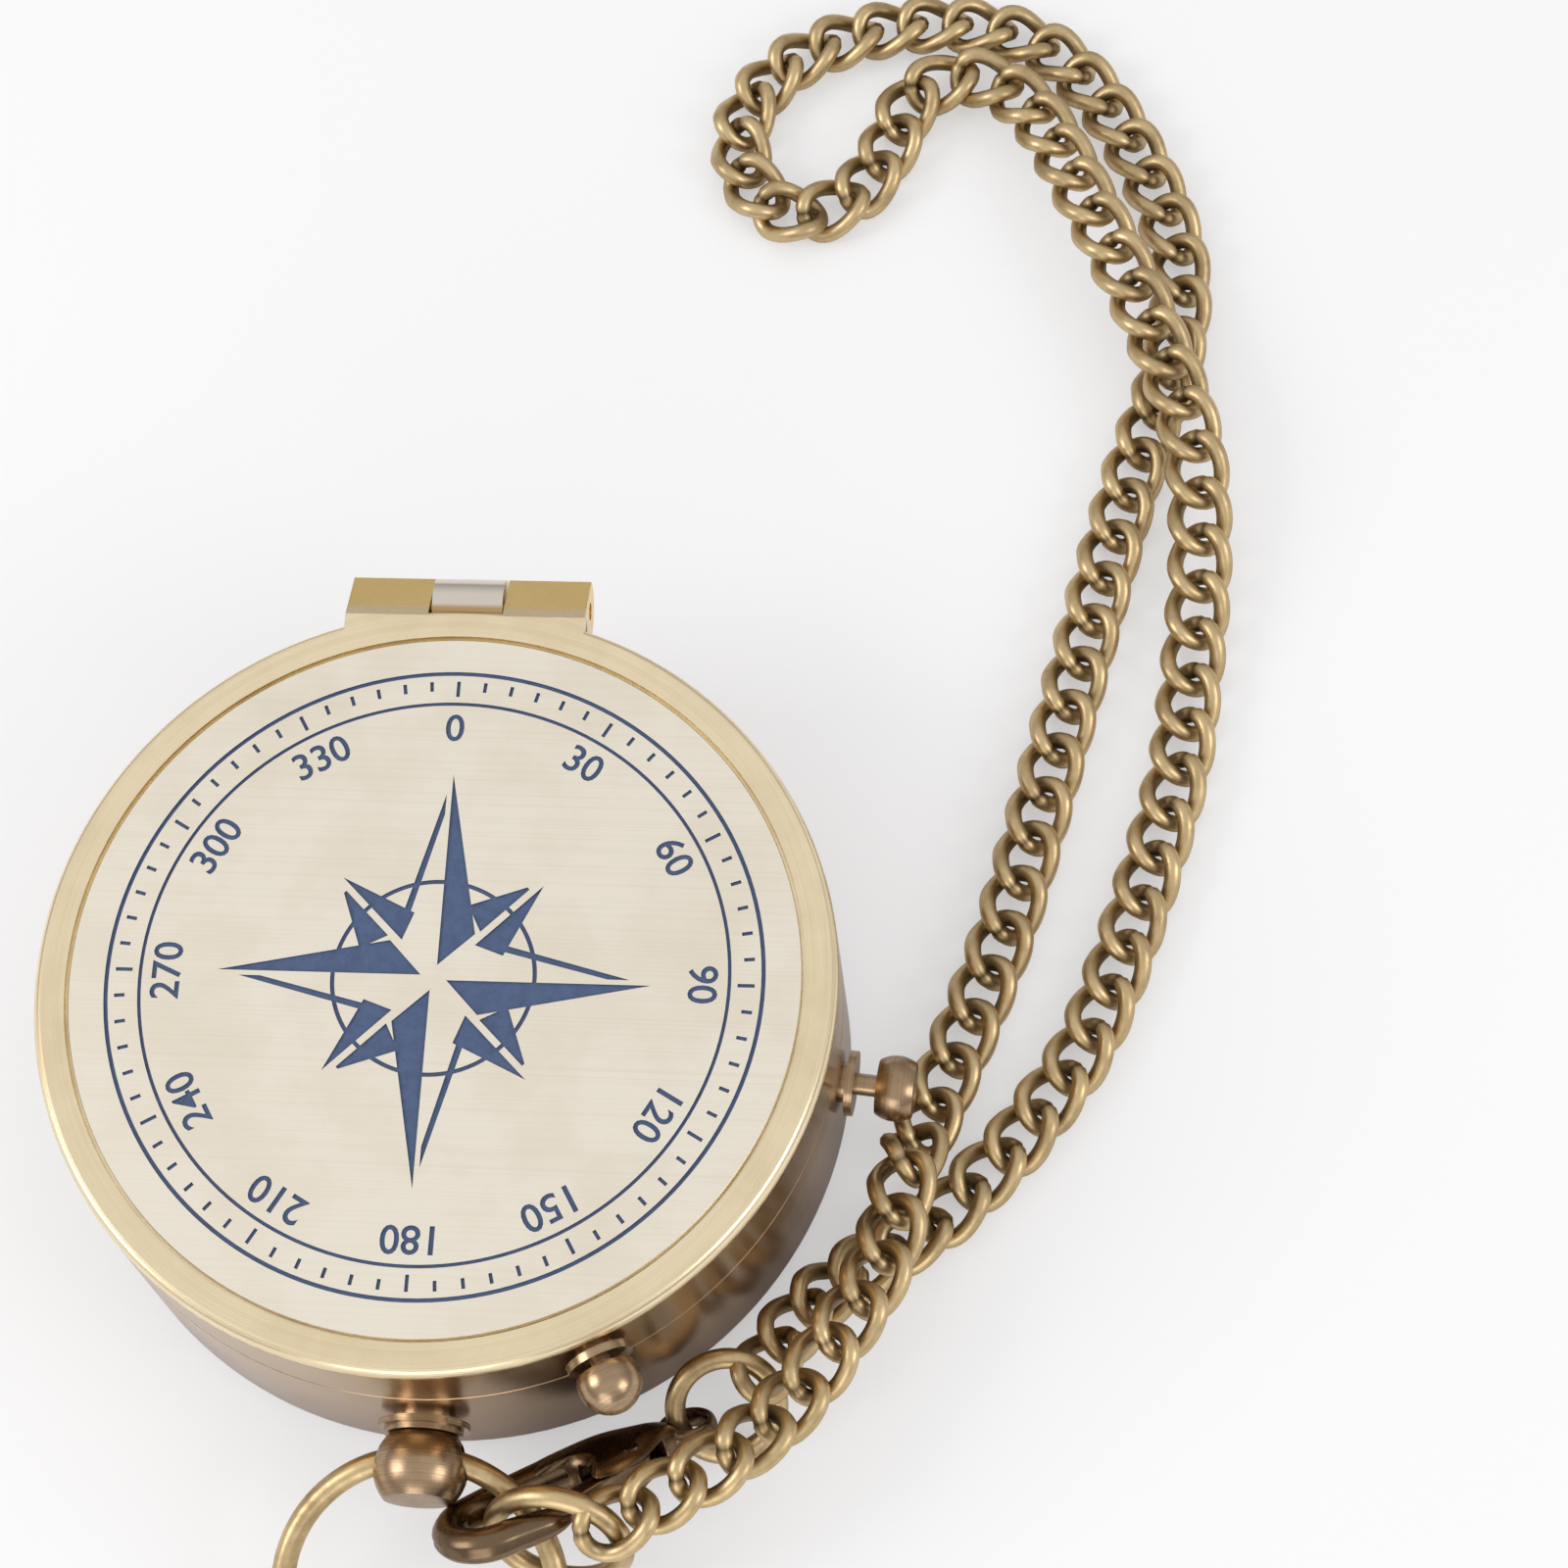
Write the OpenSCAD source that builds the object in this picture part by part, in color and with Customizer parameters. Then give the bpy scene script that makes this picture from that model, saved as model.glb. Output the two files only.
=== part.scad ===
/* [Case] */
// Outside diameter of the case and the lid
case_d = 57; // [52:0.5:64]
// Height of the lower body, from its resting face to the seam
body_h = 15.1; // [14.9:0.1:18]
// Height of the bezel band, from the seam to the lid
band_h = 5.85; // [5.75:0.05:8]
// Radius that rounds the body's bottom edge
base_round = 2.4; // [1:0.1:2.6]
// Thickness of the body's floor
floor_t = 1.8; // [1.2:0.1:3]
// Wall of the body outside the band's skirt
rim_wall = 1.1; // [0.9:0.05:1.4]
// Chamfer on each side of the seam
seam_chamfer = 0.12; // [0.05:0.01:0.2]
// Wall of the band's threaded skirt
skirt_t = 0.8; // [0.6:0.05:1]
// Depth of the band's threaded skirt
skirt_h = 2; // [1.6:0.1:2.2]
// Wall of the band above the glass
band_wall = 2.2; // [2:0.05:2.5]
// Chamfer on the band's upper inside edge
band_chamfer = 0.3; // [0.1:0.05:0.5]

/* [Glass and dial] */
// Thickness of the glass
glass_t = 1.4; // [1:0.1:1.6]
// Thickness of the gasket under the glass
gasket_t = 0.4; // [0.3:0.05:0.6]
// Width of the ledge that the glass sits on
glass_ledge = 1.25; // [1:0.05:1.5]
// Height that the band's inner lip takes above the glass
lip_t = 0.8; // [0.6:0.1:1]
// Width of the band's inner lip over the glass
lip_w = 1.65; // [1.2:0.05:2]
// Drop from the seam to the dial's underside
dial_drop = 3.9; // [3.7:0.1:4.3]
// Thickness of the dial
dial_t = 0.6; // [0.4:0.1:0.8]
// Width of the ledge that the dial sits on
dial_ledge = 0.6; // [0.4:0.05:0.8]
// Diameter of the dial's three screws over the head
dial_screw_d = 1.6; // [1.2:0.1:2]
// Distance of the dial's screws from the centre
dial_screw_at = 22.4; // [20:0.1:22.8]

/* [Needle] */
// Length of the needle from tip to tip
needle_len = 44; // [36:0.5:46]
// Greatest width of the needle
needle_w = 4.2; // [3:0.1:5]
// Thickness of the needle
needle_t = 0.3; // [0.2:0.05:0.4]
// Diameter of the needle's cap
cap_d = 3.2; // [2.6:0.1:3.6]
// Height of the needle's cap
cap_h = 1.3; // [1.1:0.1:1.5]
// Diameter of the post that the needle turns on
post_d = 1.2; // [1:0.1:1.4]

/* [Needle lock] */
// Bearing of the needle lock's knob around the case, in degrees
lock_turn = -5.5; // [-12:0.5:0]
// Height of the needle lock's knob
lock_z = 9; // [8.8:0.1:9.4]
// Travel of the needle lock's knob
lock_travel = 0.9; // [0.5:0.05:1]
// Length of the lock knob's barrel
lock_barrel_len = 2.7; // [2.2:0.1:3]
// Diameter of the lock knob's barrel
lock_barrel_d = 4.8; // [4.2:0.1:5.2]
// Rise of the needle lifter at the centre
lift_rise = 0.5; // [0.3:0.05:0.5]

/* [Lid latch] */
// Bearing of the latch button around the case, in degrees
latch_turn = -63.2; // [-70:0.2:-55]
// Height of the latch button above the seam
latch_rise = 3.3; // [3.1:0.05:3.4]
// Travel of the latch button
latch_travel = 0.4; // [0.3:0.05:0.45]
// Diameter of the latch button's ball
latch_ball_d = 4.5; // [4:0.1:5]
// Thickness of the latch spring's leaf
leaf_t = 0.4; // [0.3:0.05:0.5]

/* [Knob fittings] */
// Diameter of the flange of each knob's bush
flange_d = 4.75; // [4.2:0.05:5.2]
// Thickness of that flange
flange_t = 0.6; // [0.5:0.05:0.8]
// Shadow gap between a flange and the wall
flange_gap = 0.3; // [0.2:0.05:0.4]
// Diameter of a bush's shank in the wall
shank_d = 3; // [2.6:0.1:3.2]
// Diameter of a knob's shaft
shaft_d = 1.6; // [1.4:0.05:1.8]
// Running clearance around a shaft or a pin
run_gap = 0.05; // [0.03:0.01:0.08]

/* [Lid] */
// Thickness of the lid at its rim
lid_t = 1; // [0.9:0.05:1.4]
// Gap between the closed lid and the band
lid_gap = 0.05; // [0.04:0.01:0.08]
// Width of the lid's ring outside the inset plate
ring_w = 2.3; // [2:0.05:3]
// Radial width of the ring's rounded shoulder
shoulder_w = 0.63; // [0.4:0.01:0.8]
// Height of the ring's rounded shoulder
shoulder_h = 0.9; // [0.6:0.05:0.9]
// Thickness of the inset plate
plate_t = 0.62; // [0.4:0.02:0.68]
// Gap around the inset plate
plate_gap = 0.25; // [0.15:0.05:0.4]
// Thickness of the lid's floor under the plate
lid_floor = 0.6; // [0.5:0.05:0.8]
// Wall of the lid's lip inside the band
lip_wall = 0.75; // [0.6:0.05:0.9]
// Depth of the lid's lip below the rim
lip_h = 1.1; // [0.9:0.05:1.2]
// Gap between the lid's lip and the band
lip_gap = 0.35; // [0.3:0.05:0.5]

/* [Hinge] */
// Length of the hinge from end to end
hinge_len = 17.6; // [14:0.2:20]
// Length of the middle knuckle
knuckle_len = 5.2; // [4:0.1:6]
// Gap between the knuckle and each lug
knuckle_gap = 0.15; // [0.1:0.05:0.3]
// Radius of the knuckle and the lugs
barrel_r = 2.2; // [2:0.05:2.3]
// Distance of the hinge pin outside the case's wall
pin_out = 1.1; // [1:0.05:1.3]
// Depth of the hinge pin below the band's top
pin_drop = 1.65; // [1.5:0.05:1.7]
// Slope of the lugs' top face, in degrees
lug_slope = 28; // [24:0.5:30]
// Diameter of the hinge pin
pin_d = 1.2; // [1:0.05:1.4]
// Clearance of the cut that the lugs turn in
scallop_gap = 0.15; // [0.1:0.05:0.25]

/* [Bow] */
// Height of the bow's ball
bow_z = 9.5; // [9:0.1:10]
// Diameter of the bow's ball
bow_ball_d = 6.7; // [6:0.1:7]
// Distance of the ball's centre outside the wall
bow_ball_out = 3.65; // [3.5:0.05:4]
// Distance of the ball's flat end outside the wall
bow_flat_out = 5.9; // [5.5:0.1:6.2]
// Diameter of the larger step of the bow's collar
collar_d = 6.5; // [6:0.1:7]
// Mean radius of the bow ring
bow_r = 9.8; // [9:0.1:11]
// Diameter of the bow ring's wire
bow_wire = 1.7; // [1.5:0.05:1.8]
// Clearance of the bow ring's wire in its cross hole
bow_hole_gap = 0.4; // [0.38:0.01:0.45]

/* [Clasp] */
// Distance from the clasp's eye to the centre of its bend
claw_reach = 16.8; // [16:0.1:18]
// Mean radius of the clasp's bend
claw_bend_r = 2.8; // [2.6:0.05:3]
// Diameter of the clasp's bar
claw_bar_d = 2.3; // [2:0.1:2.4]
// Thickness of the clasp's body
claw_t = 3; // [2.8:0.1:3.2]
// Thickness of the gate
gate_t = 1.6; // [1.4:0.1:1.8]
// Diameter of the clasp's rivet
rivet_d = 1.2; // [1:0.1:1.4]

/* [Rings and chain] */
// Mean radius of the jump ring
jump_r = 3.7; // [3.6:0.05:3.8]
// Diameter of the jump ring's wire
jump_wire = 1.5; // [1.3:0.05:1.5]
// Mean radius of the chain's end ring
end_r = 4.65; // [4.6:0.05:4.7]
// Diameter of the end ring's wire
end_wire = 1.6; // [1.4:0.05:1.65]
// Mean radius of a chain link
link_r = 2.6; // [2.58:0.01:2.65]
// Diameter of a chain link's wire
link_wire = 1.06; // [1:0.01:1.08]
// Pitch of the chain's links
link_pitch = 3.74; // [3.73:0.01:3.75]

/* [Hidden] */
$fn = 96;

// Colours as the object shows them
WALL = "#7d6142";
CREAM = "#d9c9a4";
GOLD = "#c9a45c";
COPPER = "#80583c";
BRASS = "#8a7a4e";
DARK = "#4f3526";
STEEL = "#b9bcc0";
PAPER = "#ece6d6";

// Shared small clearances and overruns
cut = 1;
seat_play = 0.1;
thread_play = 0.05;
pin_play = 0.02;

// Case
case_r = case_d / 2;
dial_z = body_h - dial_drop;
band_top = body_h + band_h;
lip_step = 0.5;
recess_r = case_r - rim_wall;
skirt_r = recess_r - thread_play;
skirt_in = skirt_r - skirt_t;
glass_r = skirt_in - seat_play;
seat_in = glass_r - glass_ledge;
seat_z = body_h + lip_step - glass_t - gasket_t;
glass_z = seat_z + gasket_t;
glass_top = glass_z + glass_t;
skirt_z = body_h - skirt_h;
well_r = seat_in - dial_ledge;
dial_r = seat_in - seat_play;
band_in = case_r - band_wall;
lip_in = skirt_in - lip_w;
boss_r = 1.6;
dial_screw_turns = [60, 180, 300];
dial_screw_core = 0.6;
dial_screw_depth = 3;
dial_head_t = 0.4;

// Lid
lid_z = band_top + lid_gap;
top_z = lid_z + lid_t;
ring_in = case_r - ring_w;
ring_flat_r = case_r - shoulder_w;
plate_low = 0.08;
plate_z = top_z - plate_low - plate_t;
plate_r = ring_in - plate_gap;
plate_edge = 0.2;
lid_lip_r = band_in - lip_gap;
lid_lip_in = lid_lip_r - lip_wall;

// Hinge
pin_y = case_r + pin_out;
pin_z = band_top - pin_drop;
lug_in = knuckle_len / 2 + knuckle_gap;
lug_out = hinge_len / 2;
barrel_back = sqrt(pow(barrel_r, 2) - pow(lid_z - pin_z, 2));
notch_gap = 0.12;
notch_y = pin_y - barrel_back - notch_gap;
slope_run = 3 * barrel_r;
pin_recess = 0.3;

// Knobs and their bushes
latch_z = body_h + latch_rise;
latch_ball_out = 2.4;
latch_neck_out = flange_gap + flange_t + latch_travel + seat_play;
lock_neck_gap = 0.7;
lock_neck_out = flange_gap + flange_t + lock_travel + lock_neck_gap;
shank_r = shank_d / 2;
shaft_r = shaft_d / 2;
bush_bore_r = shaft_r + run_gap;
lock_barrel_r = lock_barrel_d / 2;
lock_clip_r = 1.4;
lock_clip_t = 0.5;

// Latch spring and the keeper in the lid's lip
latch_clip_r = 1.3;
latch_clip_t = 0.3;
leaf_gap = 0.4;
leaf_out = lid_lip_in - leaf_gap;
leaf_in = leaf_out - leaf_t;
leaf_mid = leaf_out - leaf_t / 2;
leaf_half_h = 1.1;
leaf_head_turn = 5;
leaf_arm_turn = 34;
leaf_end_turn = 3;
leaf_half_turn = (leaf_head_turn + leaf_arm_turn + leaf_end_turn) / 2;
leaf_turn = latch_turn + leaf_head_turn - leaf_half_turn;
leaf_foot_turn = 2.5;
leaf_foot_half_h = 1;
nose_t = 0.3;
nose_turn = 3.2;
nose_out = 0.8;
keeper_turn = 5.5;
keeper_drop = 0.55;
keeper_slot_turn = 4.2;
keeper_slot_h = 0.5;
lip_z = lid_z - lip_h;
keeper_z = lip_z - keeper_drop;
slot_z = lip_z - seat_play / 2;
nose_z = slot_z + seat_play;
latch_screw_r = 0.5;
latch_screw_head_r = 0.85;
latch_screw_head_t = 0.5;
latch_screw_bite = 1.3;

// Needle, its post and its lifter
cap_r = cap_d / 2;
post_r = post_d / 2;
needle_lift_room = 0.1;
cap_gap = 0.25;
cap_top = glass_z - cap_gap;
cap_z = cap_top - cap_h;
cap_flange_t = 0.15;
cap_neck_share = 0.7;
cap_bore_share = 0.6;
cap_neck_r = cap_neck_share * cap_r;
cap_bore_r = cap_bore_share * cap_r;
cap_roof = 0.35;
post_tip_r = 0.06;
post_base_r = 2.5;
post_base_h = 1.2;
tip_room = 0.08;
collar_bore_share = 1.6;
collar_wall = 0.6;
collar_in = collar_bore_share * post_r;
collar_out = collar_in + collar_wall;
lever_z = 7.4;
lever_t = 0.5;
lever_w = 3;
lever_eye_r = 2.3;
lever_barrel_r = 0.9;
lever_pin_r = 0.4;
lever_arm = 15;
lever_tip = 20.5;
lever_pad = 0.3;
lever_axis_z = lever_z + lever_t / 2;
collar_top = cap_z - needle_lift_room - lift_rise;
dial_hole_gap = 0.4;
dial_hole_r = collar_out + dial_hole_gap;
ear_t = 0.8;
ear_w = 3;
ear_play = 0.15;
ear_top = 1;
bracket_base_t = 0.6;
cone_room = 1.1;
cone_start = lever_tip + cone_room;
cone_len = 2.2;
cone_slope = lift_rise / lever_arm * (lever_tip - lever_arm) / lock_travel;
cone_gap = 0.1;
cone_end_r = shaft_r - cone_slope * cone_len;
pad_top = lock_z - shaft_r + cone_slope * (cone_start - lever_tip - lever_pad) - cone_gap;

// Bow
bow_ball_r = bow_ball_d / 2;
bow_hole_out = 3.1;
bow_hole_r = bow_wire / 2 + bow_hole_gap;
bow_sag = bow_r - sqrt(pow(bow_r, 2) - pow(bow_ball_r, 2));
bow_reach = bow_r - bow_sag / 2;
bow_neck_out = 1.35;
bow_stud_r = 1.2;
bow_stud_len = 2.9;
collar_gap = 0.4;
collar_step = 0.45;
collar_shank_r = 2.2;
collar_shank_len = 1;
collar_r = collar_d / 2;
collar_small_share = 0.86;
floor_play = 0.05;
bow_droop = asin((bow_z - bow_wire / 2 - floor_play) / (bow_reach + bow_r));

// Clasp, in its own frame: X from the eye to the bend, Z square to its flat side
clasp_at = [17.9, -27.1, 2.6];
clasp_heading = -146;
clasp_pitch = 22;
clasp_roll = 47;
claw_bar_r = claw_bar_d / 2;
claw_bar_share = 0.66;
eye_r = 2.2;
eye_hole_r = 1.45;
eye_t = 1.7;
arm_len = 4.2;
arm_spread = 14;
arm_tip_r = 0.75;
bead_proud = 0.05;
gate_pivot = [5.5, 1.5];
gate_tip = [11.9, 2.6];
gate_w = 1.5;
gate_end_r = 1.25;
gate_room = 0.15;
rivet_r = rivet_d / 2;
rivet_proud = 0.1;
claw_width = 7.6;
claw_outline_shares = [[0.07, -0.13], [0.18, -0.32], [0.36, -0.48], [0.58, -0.5], [0.74, -0.5],
                       [0.74, -0.19], [0.57, -0.19], [0.5, -0.02], [0.5, 0.22], [0.55, 0.4],
                       [0.47, 0.48], [0.34, 0.46], [0.2, 0.3], [0.07, 0.13]];
slot_outline_shares = [[0.17, -0.05], [0.44, -0.05], [0.52, -0.06], [0.62, 0.1], [0.62, 0.7],
                       [0.17, 0.7]];
spring_outline_shares = [[0.33, -0.04], [0.42, 0.03], [0.5, 0.06], [0.5, 0.085], [0.41, 0.06],
                         [0.33, -0.015]];
clasp_spring_w = 1;

// Rings
jump_at = [20.7, -25.5, 3.3];
jump_heading = -77;
jump_tilt = 37.5;
end_at = [9.9, -36.3, 8.2];
end_heading = -99;
end_tilt = 66;

// Chain: points along its line, from the jump ring round to the end ring
link_tilt = 36;
// The last links roll about the line so that they lie round the end ring
end_roll = 34;
roll_count = 2;
rest_z = 2.15;
over_z = 6.4;
route = [[23.6, -22.5, 4.4], [25.6, -18.9, 3.5], [28.2, -16, 2.5], [31.3, -13.7, rest_z],
         [34.9, -11.3, rest_z], [38.4, -7.7, rest_z], [41.9, -3.4, rest_z], [46.8, 5.1, rest_z],
         [51.9, 22.5, rest_z], [53.3, 32.3, rest_z], [54, 43, 4.4], [53.2, 52, over_z],
         [49.6, 62.4, over_z], [44.6, 73, over_z], [40.8, 80.8, 5], [38, 84.2, 4], [34.2, 86, 3.1],
         [30.2, 84.4, 2.4], [28.4, 80.2, rest_z], [25.8, 75.6, rest_z], [21, 73.2, rest_z],
         [16.8, 76.6, rest_z], [16.2, 82.4, rest_z], [20, 87.8, rest_z], [27.2, 91, rest_z],
         [35, 91.4, rest_z], [41.8, 88.6, rest_z], [47.6, 81, rest_z], [51.8, 70.4, rest_z],
         [51.6, 60.6, rest_z], [48, 48, rest_z], [41, 17.4, rest_z], [38.4, 7.9, rest_z],
         [34.6, -3.2, 3.4], [33.2, -8.2, 6.8], [31.7, -15.4, 7.8], [29.3, -20.6, 9],
         [25.8, -26.2, 9], [21.5, -30.8, 11], [14.2, -35.6, 11.1]];
// A smooth curve through the points, as short straight steps
curve_steps = 6;
function pass(i) = route[min(max(i, 0), len(route) - 1)];
function smooth(a, b, c, d, t) =
    (2 * b + (c - a) * t + (2 * a - 5 * b + 4 * c - d) * t * t + (3 * b - a - 3 * c + d) * t * t * t) / 2;
function above(p, floor_z) = [p[0], p[1], max(p[2], floor_z)];
curve = [for (k = [0:curve_steps * (len(route) - 1)])
    let (i = min(floor(k / curve_steps), len(route) - 2))
        above(smooth(pass(i - 1), pass(i), pass(i + 1), pass(i + 2), k / curve_steps - i), rest_z)];
curve_lengths = [for (i = [1:len(curve) - 1]) norm(curve[i] - curve[i - 1])];

function total(v, n) = n <= 0 ? 0 : v[n - 1] + total(v, n - 1);
function point_from(s, i) =
    s <= curve_lengths[i] || i >= len(curve_lengths) - 1
        ? curve[i] + (curve[i + 1] - curve[i]) * s / curve_lengths[i]
        : point_from(s - curve_lengths[i], i + 1);
function point_at(s) = point_from(s, 0);

route_len = total(curve_lengths, len(curve_lengths));
link_steps = round(route_len / link_pitch);
link_step = route_len / link_steps;
link_count = link_steps + 1;
right_count = ceil(link_count / 2);

// Arc points, in degrees, for the outlines
function arc(at, r, from, to, steps) =
    [for (i = [0:steps]) let (a = from + (to - from) * i / steps) at + r * [cos(a), sin(a)]];

// A frame at a bearing round the case: X points outward
module at_turn(turn, z) {
    rotate([0, 0, turn]) translate([0, 0, z]) children();
}

// A cylinder along X between two distances from the axis
module rod(r, from, to) {
    translate([from, 0, 0]) rotate([0, 90, 0]) cylinder(r = r, h = to - from);
}

module tapered_rod(r1, r2, from, to) {
    translate([from, 0, 0]) rotate([0, 90, 0]) cylinder(r1 = r1, r2 = r2, h = to - from);
}

// A cylinder along X, centred
module axle(r, length) {
    rotate([0, 90, 0]) cylinder(r = r, h = length, center = true);
}

// A wire ring lying flat
module wire_ring(r, wire) {
    rotate_extrude() translate([r, 0]) circle(d = wire);
}

// A sector of a ring, centred on X
module sector(r_in, r_out, half_turn, from, to) {
    rotate([0, 0, -half_turn]) rotate_extrude(angle = 2 * half_turn)
        translate([r_in, from]) square([r_out - r_in, to - from]);
}

// The part of a ball between two distances outside the wall
module cut_ball(r, out, from, to) {
    intersection() {
        translate([case_r + out, 0, 0]) sphere(r = r);
        rod(r + cut, case_r + from, case_r + to);
    }
}

module case_body() {
    color(WALL) difference() {
        union() {
            rotate_extrude() polygon(concat(
                [[0, 0]],
                arc([case_r - base_round, base_round], base_round, -90, 0, 12),
                [[case_r, body_h - seam_chamfer], [case_r - seam_chamfer, body_h],
                 [recess_r, body_h], [recess_r, skirt_z - seat_play],
                 [glass_r, skirt_z - seat_play], [glass_r, seat_z], [seat_in, seat_z],
                 [seat_in, dial_z], [well_r, dial_z], [well_r, floor_t], [0, floor_t]]));
            for (turn = dial_screw_turns)
                rotate([0, 0, turn]) translate([dial_screw_at, 0, floor_t / 2])
                    cylinder(r = boss_r, h = dial_z - floor_t / 2);
        }
        for (turn = dial_screw_turns)
            rotate([0, 0, turn]) translate([dial_screw_at, 0, dial_z - dial_screw_depth - seat_play])
                cylinder(r = dial_screw_core + pin_play, h = dial_screw_depth + cut);
        at_turn(lock_turn, lock_z) rod(shank_r + pin_play, well_r - cut, case_r + cut);
        at_turn(-90, bow_z) rod(bow_stud_r + pin_play, case_r - bow_stud_len - seat_play, case_r + cut);
        at_turn(-90, bow_z) rod(collar_shank_r + pin_play, case_r - collar_shank_len, case_r + cut);
    }
}

module bezel_band() {
    color(WALL) difference() {
        union() {
            rotate_extrude() polygon([
                [skirt_in, skirt_z], [skirt_r, skirt_z], [skirt_r, body_h],
                [case_r - seam_chamfer, body_h], [case_r, body_h + seam_chamfer],
                [case_r, band_top], [band_in + band_chamfer, band_top],
                [band_in, band_top - band_chamfer], [band_in, glass_top + lip_t],
                [lip_in, glass_top + lip_t], [lip_in, glass_top], [skirt_in, glass_top]]);
            translate([0, pin_y, pin_z]) axle(barrel_r, knuckle_len);
        }
        for (side = [-1, 1])
            translate([side * (knuckle_len / 2 + lug_out + scallop_gap) / 2, pin_y, pin_z])
                axle(barrel_r + scallop_gap, lug_out + scallop_gap - knuckle_len / 2);
        translate([0, pin_y, pin_z]) axle(pin_d / 2 + pin_play, knuckle_len + cut);
        at_turn(latch_turn, latch_z) rod(shank_r + pin_play, band_in - cut, case_r + cut);
        at_turn(latch_turn - leaf_arm_turn, latch_z)
            rod(latch_screw_r + pin_play, band_in - cut, band_in + latch_screw_bite + seat_play);
    }
}

module gasket() {
    color("#2b2724") translate([0, 0, seat_z]) difference() {
        cylinder(r = glass_r - seat_play / 2, h = gasket_t);
        translate([0, 0, -cut]) cylinder(r = seat_in + seat_play, h = gasket_t + 2 * cut);
    }
}

module glass() {
    color("#dfe9ea", 0.3) translate([0, 0, glass_z]) cylinder(r = glass_r - seat_play / 2, h = glass_t);
}

module dial() {
    color(PAPER) translate([0, 0, dial_z]) difference() {
        cylinder(r = dial_r, h = dial_t);
        translate([0, 0, -cut]) cylinder(r = dial_hole_r, h = dial_t + 2 * cut);
        for (turn = dial_screw_turns)
            rotate([0, 0, turn]) translate([dial_screw_at, 0, -cut])
                cylinder(r = dial_screw_core + pin_play, h = dial_t + 2 * cut);
    }
}

module dial_screws() {
    color(GOLD) for (turn = dial_screw_turns)
        rotate([0, 0, turn]) translate([dial_screw_at, 0, dial_z]) {
            translate([0, 0, -dial_screw_depth])
                cylinder(r = dial_screw_core, h = dial_screw_depth + dial_t + dial_head_t / 2);
            translate([0, 0, dial_t]) cylinder(d = dial_screw_d, h = dial_head_t);
        }
}

module pivot_post() {
    color(STEEL) rotate_extrude() polygon([
        [0, floor_t], [post_base_r, floor_t], [post_base_r, floor_t + post_base_h],
        [post_r, floor_t + post_base_h], [post_r, cap_z],
        [post_tip_r, cap_top - cap_roof - tip_room], [0, cap_top - cap_roof - tip_room]]);
}

module needle() {
    color("#2d3c66") translate([0, 0, cap_z + cap_flange_t]) difference() {
        linear_extrude(needle_t) polygon([
            [0, needle_len / 2], [needle_w / 2, 0], [0, -needle_len / 2], [-needle_w / 2, 0]]);
        translate([0, 0, -cut]) cylinder(r = cap_neck_r + pin_play, h = needle_t + 2 * cut);
    }
}

module needle_cap() {
    color(GOLD) rotate_extrude() polygon([
        [0, cap_top - cap_roof], [cap_bore_r, cap_z], [cap_r, cap_z], [cap_r, cap_z + cap_flange_t],
        [cap_neck_r, cap_z + cap_flange_t], [cap_neck_r, cap_top - cap_roof / 2],
        [cap_neck_r / 2, cap_top], [0, cap_top]]);
}

module lifter_bracket() {
    color(GOLD) at_turn(lock_turn, 0) difference() {
        union() {
            translate([lever_arm - ear_w / 2, -lever_w / 2 - ear_play - ear_t, floor_t])
                cube([ear_w, lever_w + 2 * ear_play + 2 * ear_t, bracket_base_t]);
            for (side = [-1, 1])
                translate([lever_arm - ear_w / 2, side * (lever_w / 2 + ear_play + ear_t / 2) - ear_t / 2,
                           floor_t])
                    cube([ear_w, ear_t, lever_axis_z + ear_top - floor_t]);
        }
        translate([lever_arm, 0, lever_axis_z]) rotate([90, 0, 0])
            cylinder(r = lever_pin_r + pin_play, h = lever_w + 2 * (ear_play + ear_t) + cut, center = true);
    }
}

module lifter_pin() {
    color(STEEL) at_turn(lock_turn, lever_axis_z) translate([lever_arm, 0, 0]) rotate([90, 0, 0])
        cylinder(r = lever_pin_r, h = lever_w + 2 * (ear_play + ear_t), center = true);
}

module lifter_lever() {
    color(GOLD) at_turn(lock_turn, 0) difference() {
        union() {
            translate([0, -lever_w / 2, lever_z]) cube([lever_tip + lever_pad, lever_w, lever_t]);
            translate([0, 0, lever_z]) cylinder(r = lever_eye_r, h = lever_t);
            translate([lever_arm, 0, lever_axis_z]) rotate([90, 0, 0])
                cylinder(r = lever_barrel_r, h = lever_w, center = true);
            translate([lever_tip - lever_pad, -lever_w / 4, lever_z])
                cube([2 * lever_pad, lever_w / 2, pad_top - lever_z]);
        }
        translate([0, 0, lever_z - cut]) cylinder(r = collar_in, h = lever_t + 2 * cut);
        translate([lever_arm, 0, lever_axis_z]) rotate([90, 0, 0])
            cylinder(r = lever_pin_r + run_gap, h = lever_w + cut, center = true);
    }
}

module lifter_collar() {
    color(GOLD) translate([0, 0, lever_z + lever_t]) difference() {
        cylinder(r = collar_out, h = collar_top - lever_z - lever_t);
        translate([0, 0, -cut]) cylinder(r = collar_in, h = collar_top);
    }
}

// A flanged bush for a knob's shaft, from the wall's inner side outward
module bush(inner) {
    difference() {
        union() {
            rod(shank_r, inner, case_r + flange_gap + flange_t / 2);
            rod(flange_d / 2, case_r + flange_gap, case_r + flange_gap + flange_t);
        }
        rod(bush_bore_r, inner - cut, case_r + flange_gap + flange_t + cut);
    }
}

module lock_bush() {
    color(COPPER) at_turn(lock_turn, lock_z) bush(well_r + seat_play);
}

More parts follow.
